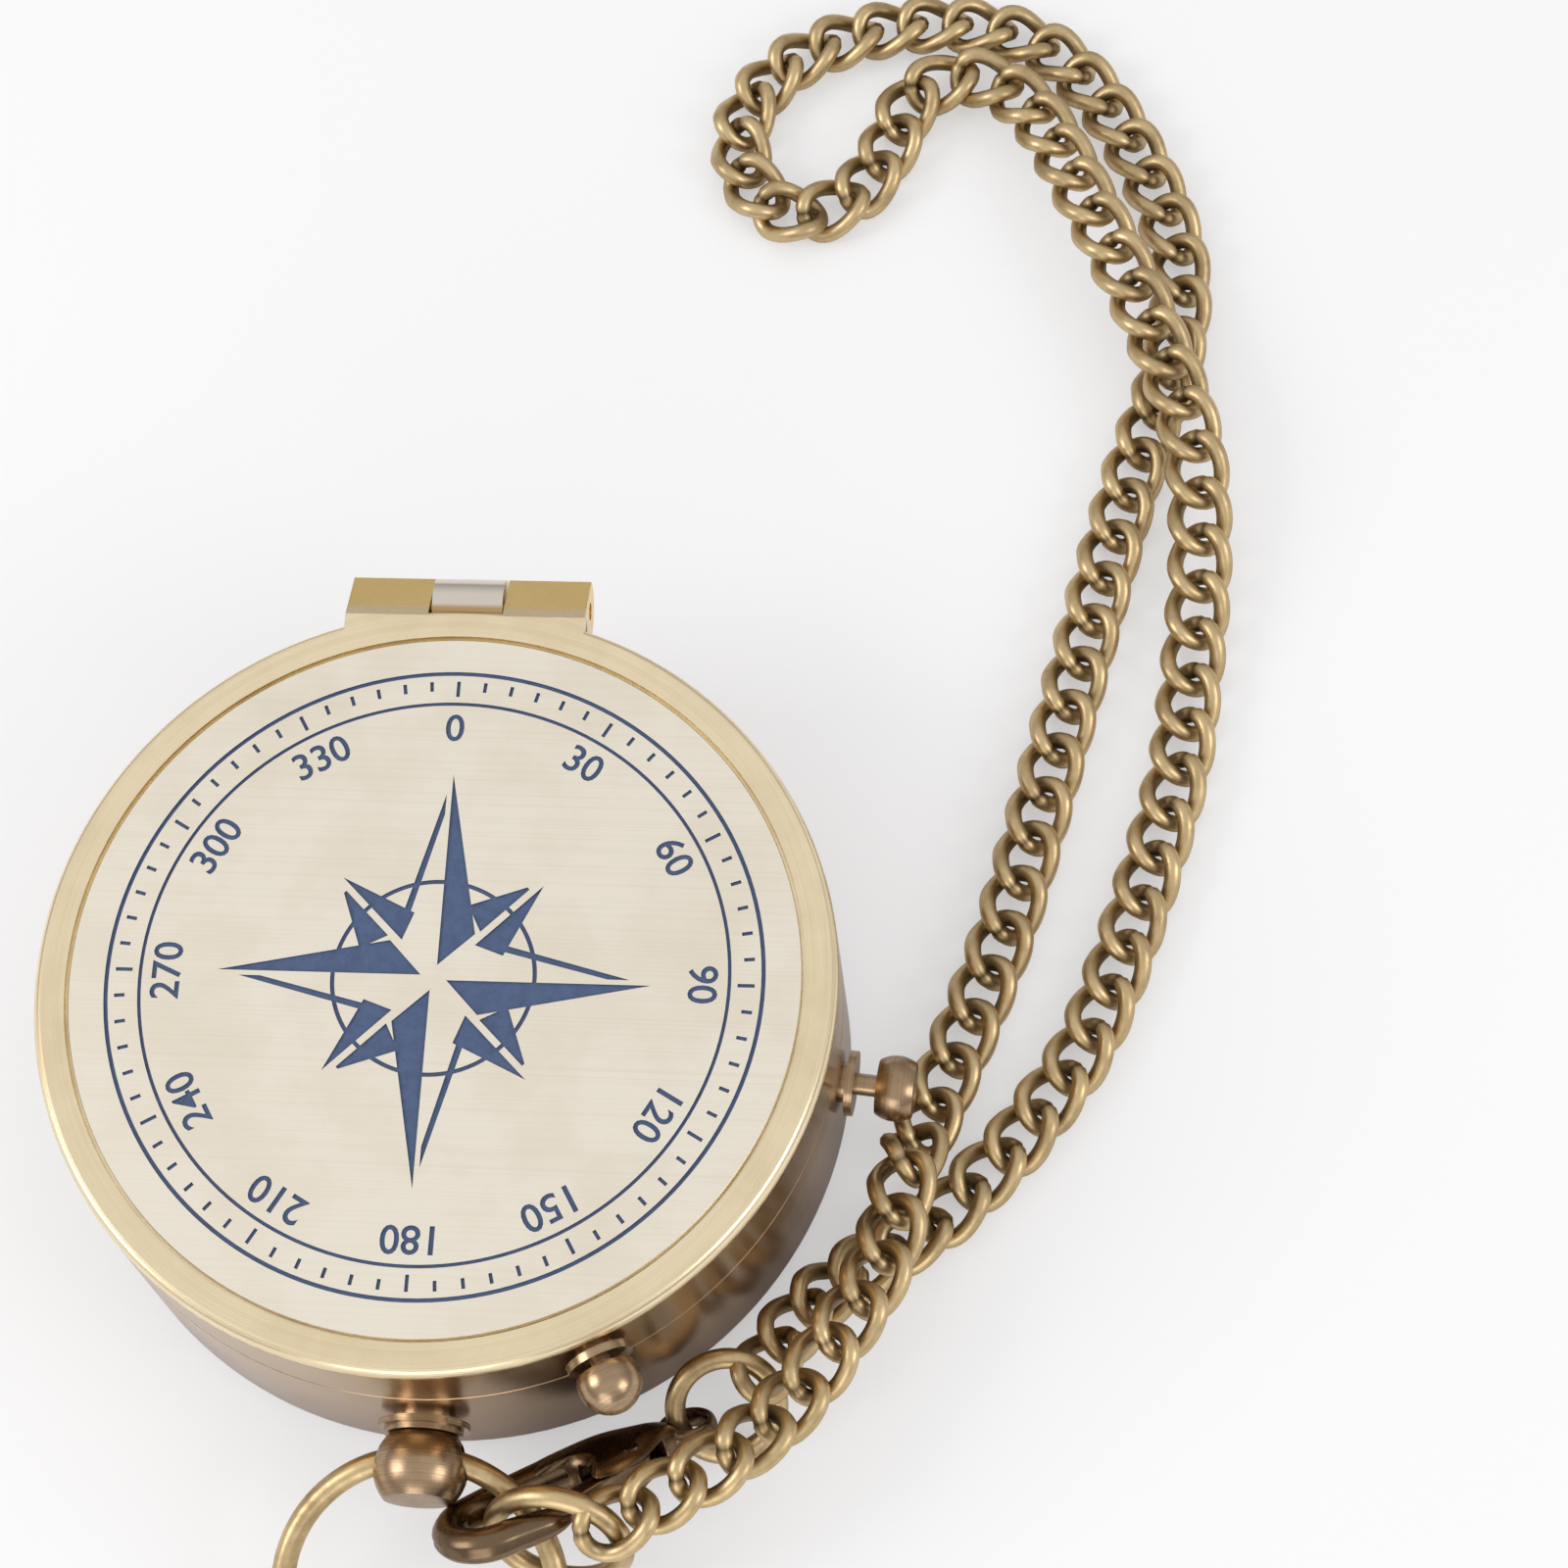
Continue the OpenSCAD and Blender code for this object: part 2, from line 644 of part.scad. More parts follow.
module lock_knob() {
    color(COPPER) at_turn(lock_turn, lock_z) {
        cut_ball(lock_barrel_r, lock_neck_out + lock_barrel_len / 2,
                 lock_neck_out, lock_neck_out + lock_barrel_len);
        rod(shaft_r, cone_start, case_r + lock_neck_out + lock_barrel_len / 2);
        tapered_rod(cone_end_r, shaft_r, cone_start - cone_len, cone_start);
    }
}

module lock_clip() {
    color(STEEL) at_turn(lock_turn, lock_z) difference() {
        rod(lock_clip_r, well_r - seat_play - lock_clip_t, well_r - seat_play);
        rod(shaft_r + pin_play, well_r - lock_clip_t - cut, well_r + cut);
    }
}

module latch_bush() {
    color(COPPER) at_turn(latch_turn, latch_z) bush(band_in + seat_play);
}

module latch_button() {
    color(COPPER) at_turn(latch_turn, latch_z) {
        cut_ball(latch_ball_d / 2, latch_ball_out, latch_neck_out, latch_ball_out + latch_ball_d);
        rod(shaft_r, leaf_out + run_gap, case_r + latch_ball_out);
    }
}

// An open clip on the button's shaft, with its gap upward, clear of the lid's lip
module latch_clip() {
    color(STEEL) at_turn(latch_turn, latch_z) difference() {
        rod(latch_clip_r, band_in - seat_play - latch_clip_t, band_in - seat_play);
        rod(shaft_r + pin_play, band_in - latch_clip_t - cut, band_in + cut);
        translate([band_in - latch_clip_t - cut, -latch_clip_r, shaft_r])
            cube([latch_clip_t + 2 * cut, 2 * latch_clip_r, latch_clip_r]);
    }
}

module latch_spring() {
    color(STEEL) difference() {
        union() {
            at_turn(leaf_turn, 0)
                sector(leaf_in, leaf_out, leaf_half_turn, latch_z - leaf_half_h, nose_z + nose_t);
            at_turn(latch_turn, 0)
                sector(leaf_mid, leaf_out + nose_out, nose_turn, nose_z, nose_z + nose_t);
            at_turn(latch_turn - leaf_arm_turn, 0)
                sector(leaf_mid, band_in - pin_play, leaf_foot_turn,
                       latch_z - leaf_foot_half_h, latch_z + leaf_foot_half_h);
        }
        // Over the arm only the lower part of the strip stays
        at_turn(latch_turn - leaf_head_turn - leaf_half_turn, 0)
            sector(leaf_in - cut, leaf_out + cut, leaf_half_turn,
                   latch_z + leaf_half_h, nose_z + nose_t + cut);
        at_turn(latch_turn - leaf_arm_turn, latch_z)
            rod(latch_screw_r + pin_play, leaf_in - cut, band_in + cut);
    }
}

module latch_screw() {
    color(STEEL) at_turn(latch_turn - leaf_arm_turn, latch_z) {
        rod(latch_screw_head_r, leaf_in - latch_screw_head_t, leaf_in - pin_play);
        rod(latch_screw_r, leaf_in - latch_screw_head_t / 2, band_in + latch_screw_bite);
    }
}

module hinge_pin() {
    color(GOLD) translate([0, pin_y, pin_z]) axle(pin_d / 2, hinge_len - 2 * pin_recess);
}

// One lug of the lid: a barrel round the pin and a web up to the lid's rim, under a sloping face
module lug(x_from, x_to) {
    slope_end = [ring_flat_r + slope_run * cos(lug_slope), top_z - slope_run * sin(lug_slope)];
    low_z = pin_z - barrel_r - cut;
    intersection() {
        union() {
            translate([(x_from + x_to) / 2, pin_y, pin_z]) axle(barrel_r, x_to - x_from);
            translate([x_from, 0, 0]) rotate([90, 0, 90]) linear_extrude(x_to - x_from) polygon([
                [lid_lip_in, lid_z], [lid_lip_in, top_z], [pin_y + barrel_r, top_z],
                [pin_y, pin_z], [pin_y - barrel_back, lid_z]]);
        }
        translate([x_from - cut, 0, 0]) rotate([90, 0, 90]) linear_extrude(x_to - x_from + 2 * cut)
            polygon([[lid_lip_in - cut, low_z], [lid_lip_in - cut, top_z], [ring_flat_r, top_z],
                     slope_end, [slope_end[0], low_z]]);
    }
}

module lid_frame() {
    color(CREAM) difference() {
        union() {
            // The lip reaches down to the keeper, and is cut back to its own depth all round but there
            difference() {
                rotate_extrude() polygon(concat(
                    [[0, plate_z - lid_floor], [lid_lip_in, plate_z - lid_floor], [lid_lip_in, keeper_z],
                     [lid_lip_r, keeper_z], [lid_lip_r, lid_z], [case_r, lid_z]],
                    [for (t = [90:-15:0])
                        [ring_flat_r + shoulder_w * sin(t), top_z - shoulder_h * (1 - cos(t))]],
                    [[0, top_z]]));
                at_turn(latch_turn + 180, 0)
                    sector(lid_lip_in - cut, lid_lip_r + cut, 180 - keeper_turn, keeper_z - cut, lip_z);
            }
            lug(-lug_out, -lug_in);
            lug(lug_in, lug_out);
        }
        translate([0, 0, plate_z]) cylinder(r = ring_in, h = lid_t + cut);
        translate([-lug_in, notch_y, lip_z - cut])
            cube([2 * lug_in, barrel_r + cut, lid_t + lip_h + 2 * cut]);
        translate([0, pin_y, pin_z]) axle(pin_d / 2 + run_gap, hinge_len + cut);
        at_turn(latch_turn, 0)
            sector(lid_lip_in - cut, lid_lip_r + cut, keeper_slot_turn, slot_z, slot_z + keeper_slot_h);
    }
}

module lid_plate() {
    color(CREAM) rotate_extrude() polygon([
        [0, plate_z], [plate_r, plate_z], [plate_r, plate_z + plate_t - plate_edge],
        [plate_r - plate_edge, plate_z + plate_t], [0, plate_z + plate_t]]);
}

module bow_collar() {
    color(COPPER) at_turn(-90, bow_z) difference() {
        union() {
            rod(collar_shank_r, case_r - collar_shank_len, case_r + collar_gap + collar_step / 2);
            rod(collar_r, case_r + collar_gap, case_r + collar_gap + collar_step);
            rod(collar_r * collar_small_share, case_r + collar_gap, case_r + collar_gap + 2 * collar_step);
        }
        rod(bow_stud_r + pin_play, case_r - collar_shank_len - cut, case_r + bow_neck_out);
    }
}

module bow_post() {
    color(COPPER) at_turn(-90, bow_z) difference() {
        union() {
            cut_ball(bow_ball_r, bow_ball_out, bow_neck_out, bow_flat_out);
            rod(bow_stud_r, case_r - bow_stud_len, case_r + bow_ball_out);
        }
        translate([case_r + bow_hole_out, 0, 0]) rotate([90, 0, 0])
            cylinder(r = bow_hole_r, h = bow_ball_d + cut, center = true);
    }
}

module bow_ring() {
    color(BRASS) translate([0, -case_r - bow_hole_out, bow_z]) rotate([bow_droop, 0, 0])
        translate([0, -bow_reach, 0]) wire_ring(bow_r, bow_wire);
}

module place_clasp() {
    translate(clasp_at) rotate([0, 0, clasp_heading]) rotate([0, -clasp_pitch, 0])
        rotate([clasp_roll, 0, 0]) children();
}

// An outline given as shares of the clasp's reach and width
function clasp_outline(shares) = [for (p = shares) [p[0] * claw_reach, p[1] * claw_width]];

module clasp_body() {
    color(DARK) place_clasp() difference() {
        union() {
            cylinder(r = eye_r, h = eye_t, center = true);
            translate([0, 0, -claw_t / 2]) linear_extrude(claw_t)
                polygon(clasp_outline(claw_outline_shares));
            translate([0, -claw_bend_r, 0]) rod(claw_bar_r, claw_bar_share * claw_reach, claw_reach);
            translate([claw_reach, 0, 0]) rotate([0, 0, -90]) rotate_extrude(angle = 180)
                translate([claw_bend_r, 0]) circle(r = claw_bar_r);
            translate([claw_reach, claw_bend_r, 0]) rotate([0, 0, 180 - arm_spread]) {
                rotate([0, 90, 0]) sphere(r = claw_bar_r + bead_proud);
                rotate([0, 90, 0]) rotate_extrude() polygon(concat(
                    [[0, 0], [claw_bar_r - bead_proud, 0]],
                    [for (t = [0:18:72]) [arm_tip_r * cos(t), arm_len + arm_tip_r * sin(t)]],
                    [[0, arm_len + arm_tip_r * sin(72)]]));
            }
        }
        cylinder(r = eye_hole_r, h = claw_t + cut, center = true);
        translate([0, 0, -gate_t / 2 - gate_room]) linear_extrude(gate_t + 2 * gate_room)
            polygon(clasp_outline(slot_outline_shares));
        translate([gate_pivot[0], gate_pivot[1], 0])
            cylinder(r = rivet_r + pin_play, h = claw_t + cut, center = true);
    }
}

module clasp_gate() {
    run = gate_tip - gate_pivot;
    color(DARK) place_clasp() difference() {
        translate([gate_pivot[0], gate_pivot[1], -gate_t / 2]) union() {
            cylinder(r = gate_end_r, h = gate_t);
            rotate([0, 0, atan2(run[1], run[0])]) translate([0, -gate_w / 2, 0])
                cube([norm(run), gate_w, gate_t]);
        }
        translate([gate_pivot[0], gate_pivot[1], 0])
            cylinder(r = rivet_r + run_gap, h = gate_t + cut, center = true);
    }
}

module clasp_rivet() {
    color(DARK) place_clasp() translate([gate_pivot[0], gate_pivot[1], 0])
        cylinder(r = rivet_r, h = claw_t + 2 * rivet_proud, center = true);
}

module clasp_spring() {
    color(STEEL) place_clasp() translate([0, 0, -clasp_spring_w / 2]) linear_extrude(clasp_spring_w)
        polygon(clasp_outline(spring_outline_shares));
}

module jump_ring() {
    color(BRASS) translate(jump_at) rotate([0, jump_tilt, jump_heading]) wire_ring(jump_r, jump_wire);
}

module end_ring() {
    color(BRASS) translate(end_at) rotate([0, end_tilt, end_heading]) wire_ring(end_r, end_wire);
}

// A link's roll about the chain's line: one way or the other, and more for the last ones
function link_roll(i) =
    (i % 2 == 0 ? -1 : 1) * link_tilt + end_roll * max(0, i + 1 + roll_count - link_count) / roll_count;

// One link at its place on the chain's line
module link(i) {
    p = point_at(i * link_step);
    run = point_at((i + 0.5) * link_step) - point_at((i - 0.5) * link_step);
    translate(p) rotate([0, 0, atan2(run[1], run[0])]) rotate([0, -asin(run[2] / norm(run)), 0])
        rotate([link_roll(i), 0, 0])
            rotate_extrude($fn = 48) translate([link_r, 0]) circle(d = link_wire, $fn = 24);
}

module chain_right() {
    color(BRASS) for (i = [0:right_count - 1]) link(i);
}

module chain_left() {
    color(BRASS) for (i = [right_count:link_count - 1]) link(i);
}

case_body();
bezel_band();
gasket();
glass();
dial();
dial_screws();
pivot_post();
needle();
needle_cap();
lifter_bracket();
lifter_pin();
lifter_lever();
lifter_collar();
lock_bush();
lock_knob();
lock_clip();
latch_bush();
latch_button();
latch_clip();
latch_spring();
latch_screw();
hinge_pin();
lid_frame();
lid_plate();
bow_collar();
bow_post();
bow_ring();
clasp_body();
clasp_gate();
clasp_rivet();
clasp_spring();
jump_ring();
end_ring();
chain_right();
chain_left();
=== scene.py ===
"""Pocket compass with a hinged lid, a bow and a curb chain: its looks, round the CAD frame."""

import math

import bmesh
import bpy
from bpy.props import FloatProperty, FloatVectorProperty, IntProperty, PointerProperty
from mathutils import Matrix, Vector


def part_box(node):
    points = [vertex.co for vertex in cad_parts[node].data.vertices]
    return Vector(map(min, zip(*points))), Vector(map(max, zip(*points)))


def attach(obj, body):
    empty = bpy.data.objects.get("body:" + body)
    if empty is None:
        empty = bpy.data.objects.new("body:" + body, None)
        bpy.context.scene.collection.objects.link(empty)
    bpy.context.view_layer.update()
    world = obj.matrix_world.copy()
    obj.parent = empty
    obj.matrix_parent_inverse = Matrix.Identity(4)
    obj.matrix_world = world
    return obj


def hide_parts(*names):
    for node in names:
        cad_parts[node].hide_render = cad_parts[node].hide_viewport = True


bl_info = {
    "name": "Pocket compass",
    "version": (1, 0, 0),
    "blender": (4, 5, 0),
    "location": "View3D > Sidebar > Compass",
    "description": "Builds the chain, engraving, dial printing and finishes of a pocket compass",
    "category": "Object",
}

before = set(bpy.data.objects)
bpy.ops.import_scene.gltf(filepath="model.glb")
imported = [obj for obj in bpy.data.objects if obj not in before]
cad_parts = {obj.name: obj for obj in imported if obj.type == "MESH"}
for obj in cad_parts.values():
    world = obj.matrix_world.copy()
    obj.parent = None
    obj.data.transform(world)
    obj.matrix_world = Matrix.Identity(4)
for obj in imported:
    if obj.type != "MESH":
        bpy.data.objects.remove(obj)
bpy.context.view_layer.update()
MM = 0.001

# The chain's route over the floor, in metres: from the jump ring, up and round the curl,
# and back to the end ring
CHAIN_ROUTE = [
    (0.0236, -0.0225, 0.0044), (0.0256, -0.0189, 0.0035), (0.0282, -0.016, 0.0025),
    (0.0313, -0.0137, 0.00215), (0.0349, -0.0113, 0.00215), (0.0384, -0.0077, 0.00215),
    (0.0419, -0.0034, 0.00215), (0.0468, 0.0051, 0.00215), (0.0519, 0.0225, 0.00215),
    (0.0533, 0.0323, 0.00215), (0.054, 0.043, 0.0044), (0.0532, 0.052, 0.0064),
    (0.0496, 0.0624, 0.0064), (0.0446, 0.073, 0.0064), (0.0408, 0.0808, 0.005),
    (0.038, 0.0842, 0.004), (0.0342, 0.086, 0.0031), (0.0302, 0.0844, 0.0024),
    (0.0284, 0.0802, 0.00215), (0.0258, 0.0756, 0.00215), (0.021, 0.0732, 0.00215),
    (0.0168, 0.0766, 0.00215), (0.0162, 0.0824, 0.00215), (0.02, 0.0878, 0.00215),
    (0.0272, 0.091, 0.00215), (0.035, 0.0914, 0.00215), (0.0418, 0.0886, 0.00215),
    (0.0476, 0.081, 0.00215), (0.0518, 0.0704, 0.00215), (0.0516, 0.0606, 0.00215),
    (0.048, 0.048, 0.00215), (0.041, 0.0174, 0.00215), (0.0384, 0.0079, 0.00215),
    (0.0346, -0.0032, 0.0034), (0.0332, -0.0082, 0.0068), (0.0317, -0.0154, 0.0078),
    (0.0293, -0.0206, 0.009), (0.0258, -0.0262, 0.009), (0.0215, -0.0308, 0.011),
    (0.0142, -0.0356, 0.0111),
]
# The route's points, by number: one on the floor, one over the chain itself, and the two between
# which all points are let down fully. Those two are let down by half, and the rest stay.
ON_FLOOR, OVER_CHAIN = 3, 12
FIRST_HALF, LAST_HALF = 2, 34
# How far a point shifts in X and Y for each metre it is let down, so the camera sees it in place
DOWN_X, DOWN_Y = -0.175, 0.235


class CompassSizes(bpy.types.PropertyGroup):
    """Sizes of the pieces that Blender adds"""

    link_length: FloatProperty(
        name="Link length", description="Half length of a chain link along its wire's middle",
        default=2.6 * MM, unit="LENGTH")
    link_width: FloatProperty(
        name="Link width", description="Half width of a chain link along its wire's middle",
        default=1.9 * MM, unit="LENGTH")
    link_twist: FloatProperty(
        name="Link twist", description="How far a link's sides rise out of flat",
        default=0.9 * MM, unit="LENGTH")
    link_wire: FloatProperty(
        name="Link wire", description="Diameter of a link's wire",
        default=1.3 * MM, unit="LENGTH")
    link_step: FloatProperty(
        name="Link step", description="Distance from one link to the next",
        default=3.75 * MM, unit="LENGTH")
    rest_level: FloatProperty(
        name="Rest level", description="Height of the chain's middle where it lies on the floor",
        default=1.76 * MM, unit="LENGTH")
    over_level: FloatProperty(
        name="Crossing level", description="Height of the chain's middle where it lies on itself",
        default=5.0 * MM, unit="LENGTH")
    link_roll: FloatProperty(
        name="Link roll", description="How far the links lie rolled about the chain's line",
        default=math.radians(-6), unit="ROTATION")
    engraving_depth: FloatProperty(
        name="Engraving depth", description="Depth of the lid's engraving",
        default=0.14 * MM, unit="LENGTH")
    engraving_radius: FloatProperty(
        name="Engraving radius", description="Outer radius of the lid's engraved ring",
        default=23.4 * MM, unit="LENGTH")
    rose_radius: FloatProperty(
        name="Rose radius", description="Reach of the lid's compass rose",
        default=15.4 * MM, unit="LENGTH")
    lid_ticks: IntProperty(
        name="Lid ticks", description="Number of ticks round the lid's rose", default=72, min=8)
    dial_ticks: IntProperty(
        name="Dial ticks", description="Number of ticks round the dial", default=120, min=8)


class CompassColours(bpy.types.PropertyGroup):
    """Colours of the finishes"""

    wall: FloatVectorProperty(
        name="Wall", description="Polished brown bronze of the case's wall",
        default=(0.52, 0.35, 0.175), subtype="COLOR")
    # Darker bronze for the wall's clouds and tool marks; the same colour is painted low on the wall
    # as painted shade where the case rounds under towards the floor
    wall_low: FloatVectorProperty(
        name="Wall foot", description="Darker bronze at the foot of the wall",
        default=(0.27, 0.17, 0.12), subtype="COLOR")
    cream: FloatVectorProperty(
        name="Ring", description="Cream brass of the lid's ring",
        default=(0.93, 0.79, 0.53), subtype="COLOR")
    plate: FloatVectorProperty(
        name="Plate", description="Pale brushed brass of the lid's plate",
        default=(0.95, 0.88, 0.74), subtype="COLOR")
    gold: FloatVectorProperty(
        name="Hinge", description="Yellow brass of the hinge's lugs",
        default=(0.93, 0.69, 0.28), subtype="COLOR")
    copper: FloatVectorProperty(
        name="Knobs", description="Copper brown of the knobs and the bow",
        default=(0.45, 0.32, 0.195), subtype="COLOR")
    antique: FloatVectorProperty(
        name="Chain", description="Antique brass of the chain and rings",
        default=(0.65, 0.49, 0.265), subtype="COLOR")
    patina: FloatVectorProperty(
        name="Patina", description="Dark patina in the chain's hollows",
        default=(0.07, 0.045, 0.02), subtype="COLOR")
    clasp: FloatVectorProperty(
        name="Clasp", description="Dark bronze of the clasp",
        default=(0.20, 0.135, 0.08), subtype="COLOR")
    ink: FloatVectorProperty(
        name="Engraving fill", description="Slate blue in the lid's engraving",
        default=(0.065, 0.105, 0.205), subtype="COLOR")
    steel: FloatVectorProperty(
        name="Steel", description="Springs, screws and pins",
        default=(0.55, 0.56, 0.58), subtype="COLOR")
    paper: FloatVectorProperty(
        name="Dial", description="Enamel of the dial",
        default=(0.86, 0.83, 0.74), subtype="COLOR")


def sizes():
    """The sizes that this scene is built with."""
    return bpy.context.scene.compass_sizes


def colours():
    """The colours that this scene is built with."""
    return bpy.context.scene.compass_colours


# Outlines


def circle(radius, steps):
    """The points of a circle about the origin, anticlockwise from X."""
    turns = [2 * math.pi * i / steps for i in range(steps)]
    return [(radius * math.cos(turn), radius * math.sin(turn)) for turn in turns]


def between(a, b, c, d, s):
    """The point at share s of the way from b to c, on a smooth line through a, b, c and d."""
    return 0.5 * (2 * b + (c - a) * s + (2 * a - 5 * b + 4 * c - d) * s ** 2
                  + (3 * b - a - 3 * c + d) * s ** 3)


def smooth_line(points, steps):
    """A smooth line through every point, as short straight steps, and never under the lowest."""
    line = []
    held = [points[0], *points, points[-1]]
    for i in range(len(points) - 1):
        corners = [Vector(p) for p in held[i:i + 4]]
        line += [between(*corners, k / steps) for k in range(steps)]
    line.append(Vector(points[-1]))
    low = min(p[2] for p in points)
    for p in line:
        p.z = max(p.z, low)
    return line


def smooth_outline(outline, steps):
    """A closed smooth outline through corner points."""
    count = len(outline)
    line = []
    for i in range(count):
        corners = [Vector((*outline[(i + k - 1) % count], 0)) for k in range(4)]
        line += [between(*corners, k / steps).to_2d() for k in range(steps)]
    return line


# Meshes


def new_piece(name, mesh, material=None):
    """Links a mesh to the scene as an object at the origin."""
    obj = bpy.data.objects.new(name, mesh)
    bpy.context.scene.collection.objects.link(obj)
    if material is not None:
        mesh.materials.clear()
        mesh.materials.append(material)
    return obj


def mesh_from(name, points, faces, smooth=True):
    """A mesh from points and faces."""
    mesh = bpy.data.meshes.new(name)
    mesh.from_pydata([tuple(p) for p in points], [], faces)
    mesh.polygons.foreach_set("use_smooth", [smooth] * len(mesh.polygons))
    mesh.update()
    return mesh


def mesh_of(work, name):
    """A new mesh from a bmesh, which is freed."""
    mesh = bpy.data.meshes.new(name)
    work.to_mesh(mesh)
    work.free()
    return mesh


def face_outwards(mesh, weld=0.0):
    """Turns every face of a closed mesh outwards, after points closer than weld are joined."""
    work = bmesh.new()
    work.from_mesh(mesh)
    if weld:
        bmesh.ops.remove_doubles(work, verts=work.verts, dist=weld)
    bmesh.ops.recalc_face_normals(work, faces=work.faces)
    work.to_mesh(mesh)
    work.free()


def row_faces(a, b, sides):
    """The faces between two rows of a tube's points, which start at the numbers a and b."""
    return [(a + k, a + (k + 1) % sides, b + (k + 1) % sides, b + k) for k in range(sides)]


def tube_loop(name, line, radius, sides):
    """A closed round wire along a closed line of points."""
    count = len(line)
    centre = sum((Vector(p) for p in line), Vector()) / count
    points, faces = [], []
    for i, p in enumerate(line):
        along = (Vector(line[(i + 1) % count]) - Vector(line[i - 1])).normalized()
        out = Vector(p) - centre
        out = (out - along * out.dot(along)).normalized()
        up = along.cross(out)
        for x, y in circle(1.0, sides):
            points.append(Vector(p) + radius * (x * out + y * up))
    for i in range(count):
        faces += row_faces(i * sides, (i + 1) % count * sides, sides)
    mesh = mesh_from(name, points, faces)
    face_outwards(mesh)
    return mesh


def stack(work, rows):
    """Joins closed rows of a bmesh's points from the lowest up, and closes both ends."""
    work.faces.new(list(reversed(rows[0])))
    work.faces.new(rows[-1])
    for a, b in zip(rows, rows[1:]):
        for i in range(len(a)):
            k = (i + 1) % len(a)
            work.faces.new((a[i], a[k], b[k], b[i]))


def prism(work, outline, low, high):
    """Adds an upright prism over a flat outline to a bmesh."""
    stack(work, [[work.verts.new((x, y, z)) for x, y in outline] for z in (low, high)])


def band(work, inner, outer, low, high, steps=160):
    """Adds a flat ring with a square section to a bmesh."""
    rows = []
    for radius, z in ((inner, low), (outer, low), (outer, high), (inner, high)):
        rows.append([work.verts.new((x, y, z)) for x, y in circle(radius, steps)])
    for a, b in zip(rows, rows[1:] + rows[:1]):
        for i in range(steps):
            k = (i + 1) % steps
            work.faces.new((a[i], b[i], b[k], a[k]))


def word_round(text, size, thickness, turn, radius, height):
    """A short text as a solid on a circle, turned in degrees clockwise from north."""
    stroke_weight, weld = 0.012 * size, 0.0005 * size
    curve = bpy.data.curves.new("word", "FONT")
    curve.body = text
    curve.size = size
    curve.align_x = "CENTER"
    curve.align_y = "CENTER"
    curve.extrude = thickness / 2
    curve.offset = stroke_weight
    curve.resolution_u = 4
    holder = bpy.data.objects.new("word", curve)
    bpy.context.scene.collection.objects.link(holder)
    bpy.context.view_layer.update()
    graph = bpy.context.evaluated_depsgraph_get()
    mesh = bpy.data.meshes.new_from_object(holder.evaluated_get(graph))
    bpy.data.objects.remove(holder)
    bpy.data.curves.remove(curve)
    mesh.transform(Matrix.Translation((0, 0, thickness / 2)))
    face_outwards(mesh, weld)
    mesh.transform(Matrix.Rotation(math.radians(-turn), 4, "Z")
                   @ Matrix.Translation((0, radius, height)))
    return mesh


def joined(name, meshes, material):
    """One object from several meshes."""
    work = bmesh.new()
    for mesh in meshes:
        work.from_mesh(mesh)
    return new_piece(name, mesh_of(work, name), material)


def set_faces(mesh, key, value):
    """Gives every face of a mesh the same value."""
    mesh.polygons.foreach_set(key, [value] * len(mesh.polygons))


def settled(obj):
    """Turns a piece's modifiers into its plain mesh and leaves none on it."""
    bpy.context.view_layer.update()
    graph = bpy.context.evaluated_depsgraph_get()
    mesh = bpy.data.meshes.new_from_object(
        obj.evaluated_get(graph), preserve_all_data_layers=True, depsgraph=graph)
    if obj.type == "MESH":
        obj.modifiers.clear()
        obj.data = mesh
        return obj
    name = obj.name
    bpy.data.objects.remove(obj)
    return new_piece(name, mesh)


def cut_out(obj, tool, **settings):
    """Cuts a tool's solid out of a piece and removes the tool."""
    cut = obj.modifiers.new("cut", "BOOLEAN")
    cut.object = tool
    cut.solver = "EXACT"
    for key, value in settings.items():
        setattr(cut, key, value)
    settled(obj)
    bpy.data.objects.remove(tool)


# Node trees


class Tree:
    """A few short calls for adding and linking nodes."""

    def __init__(self, tree):
        self.tree = tree

    def add(self, kind, **settings):
        """Adds a node and sets its properties."""
        node = self.tree.nodes.new(kind)
        for key, value in settings.items():
            setattr(node, key, value)
        return node

    def link(self, a, b):
        """Links an output socket to an input socket."""
        self.tree.links.new(a, b)

    def fill(self, node, **values):
        """Sets or links a node's inputs, by name with _ for a space, or by number after an n."""
        for key, value in values.items():
            by_number = key[0] == "n" and key[1:].isdigit()
            socket = node.inputs[int(key[1:]) if by_number else key.replace("_", " ")]
            if isinstance(value, bpy.types.NodeSocket):
                self.link(value, socket)
            else:
                socket.default_value = value
        return node

    def worked(self, kind, operation, values):
        """A node that works something out from its numbered inputs."""
        node = self.add(kind, operation=operation)
        return self.fill(node, **{f"n{i}": value for i, value in enumerate(values)})

    def sum(self, operation, *values):
        """A Math node's result."""
        return self.worked("ShaderNodeMath", operation, values).outputs[0]

    def vector(self, operation, *values):
        """A Vector Math node."""
        return self.worked("ShaderNodeVectorMath", operation, values)

    def parts(self, vector):
        """The X, Y and Z of a vector."""
        return self.fill(self.add("ShaderNodeSeparateXYZ"), n0=vector).outputs

    def packed(self, **parts):
        """A vector from its X, Y and Z."""
        return self.fill(self.add("ShaderNodeCombineXYZ"), **parts).outputs[0]


def new_material(name):
    """An empty material with its node tree's calls and its shader."""
    material = bpy.data.materials.new(name)
    material.use_nodes = True
    material.node_tree.nodes.clear()
    t = Tree(material.node_tree)
    shader = t.add("ShaderNodeBsdfPrincipled")
    output = t.add("ShaderNodeOutputMaterial")
    t.link(shader.outputs[0], output.inputs[0])
    return material, t, shader


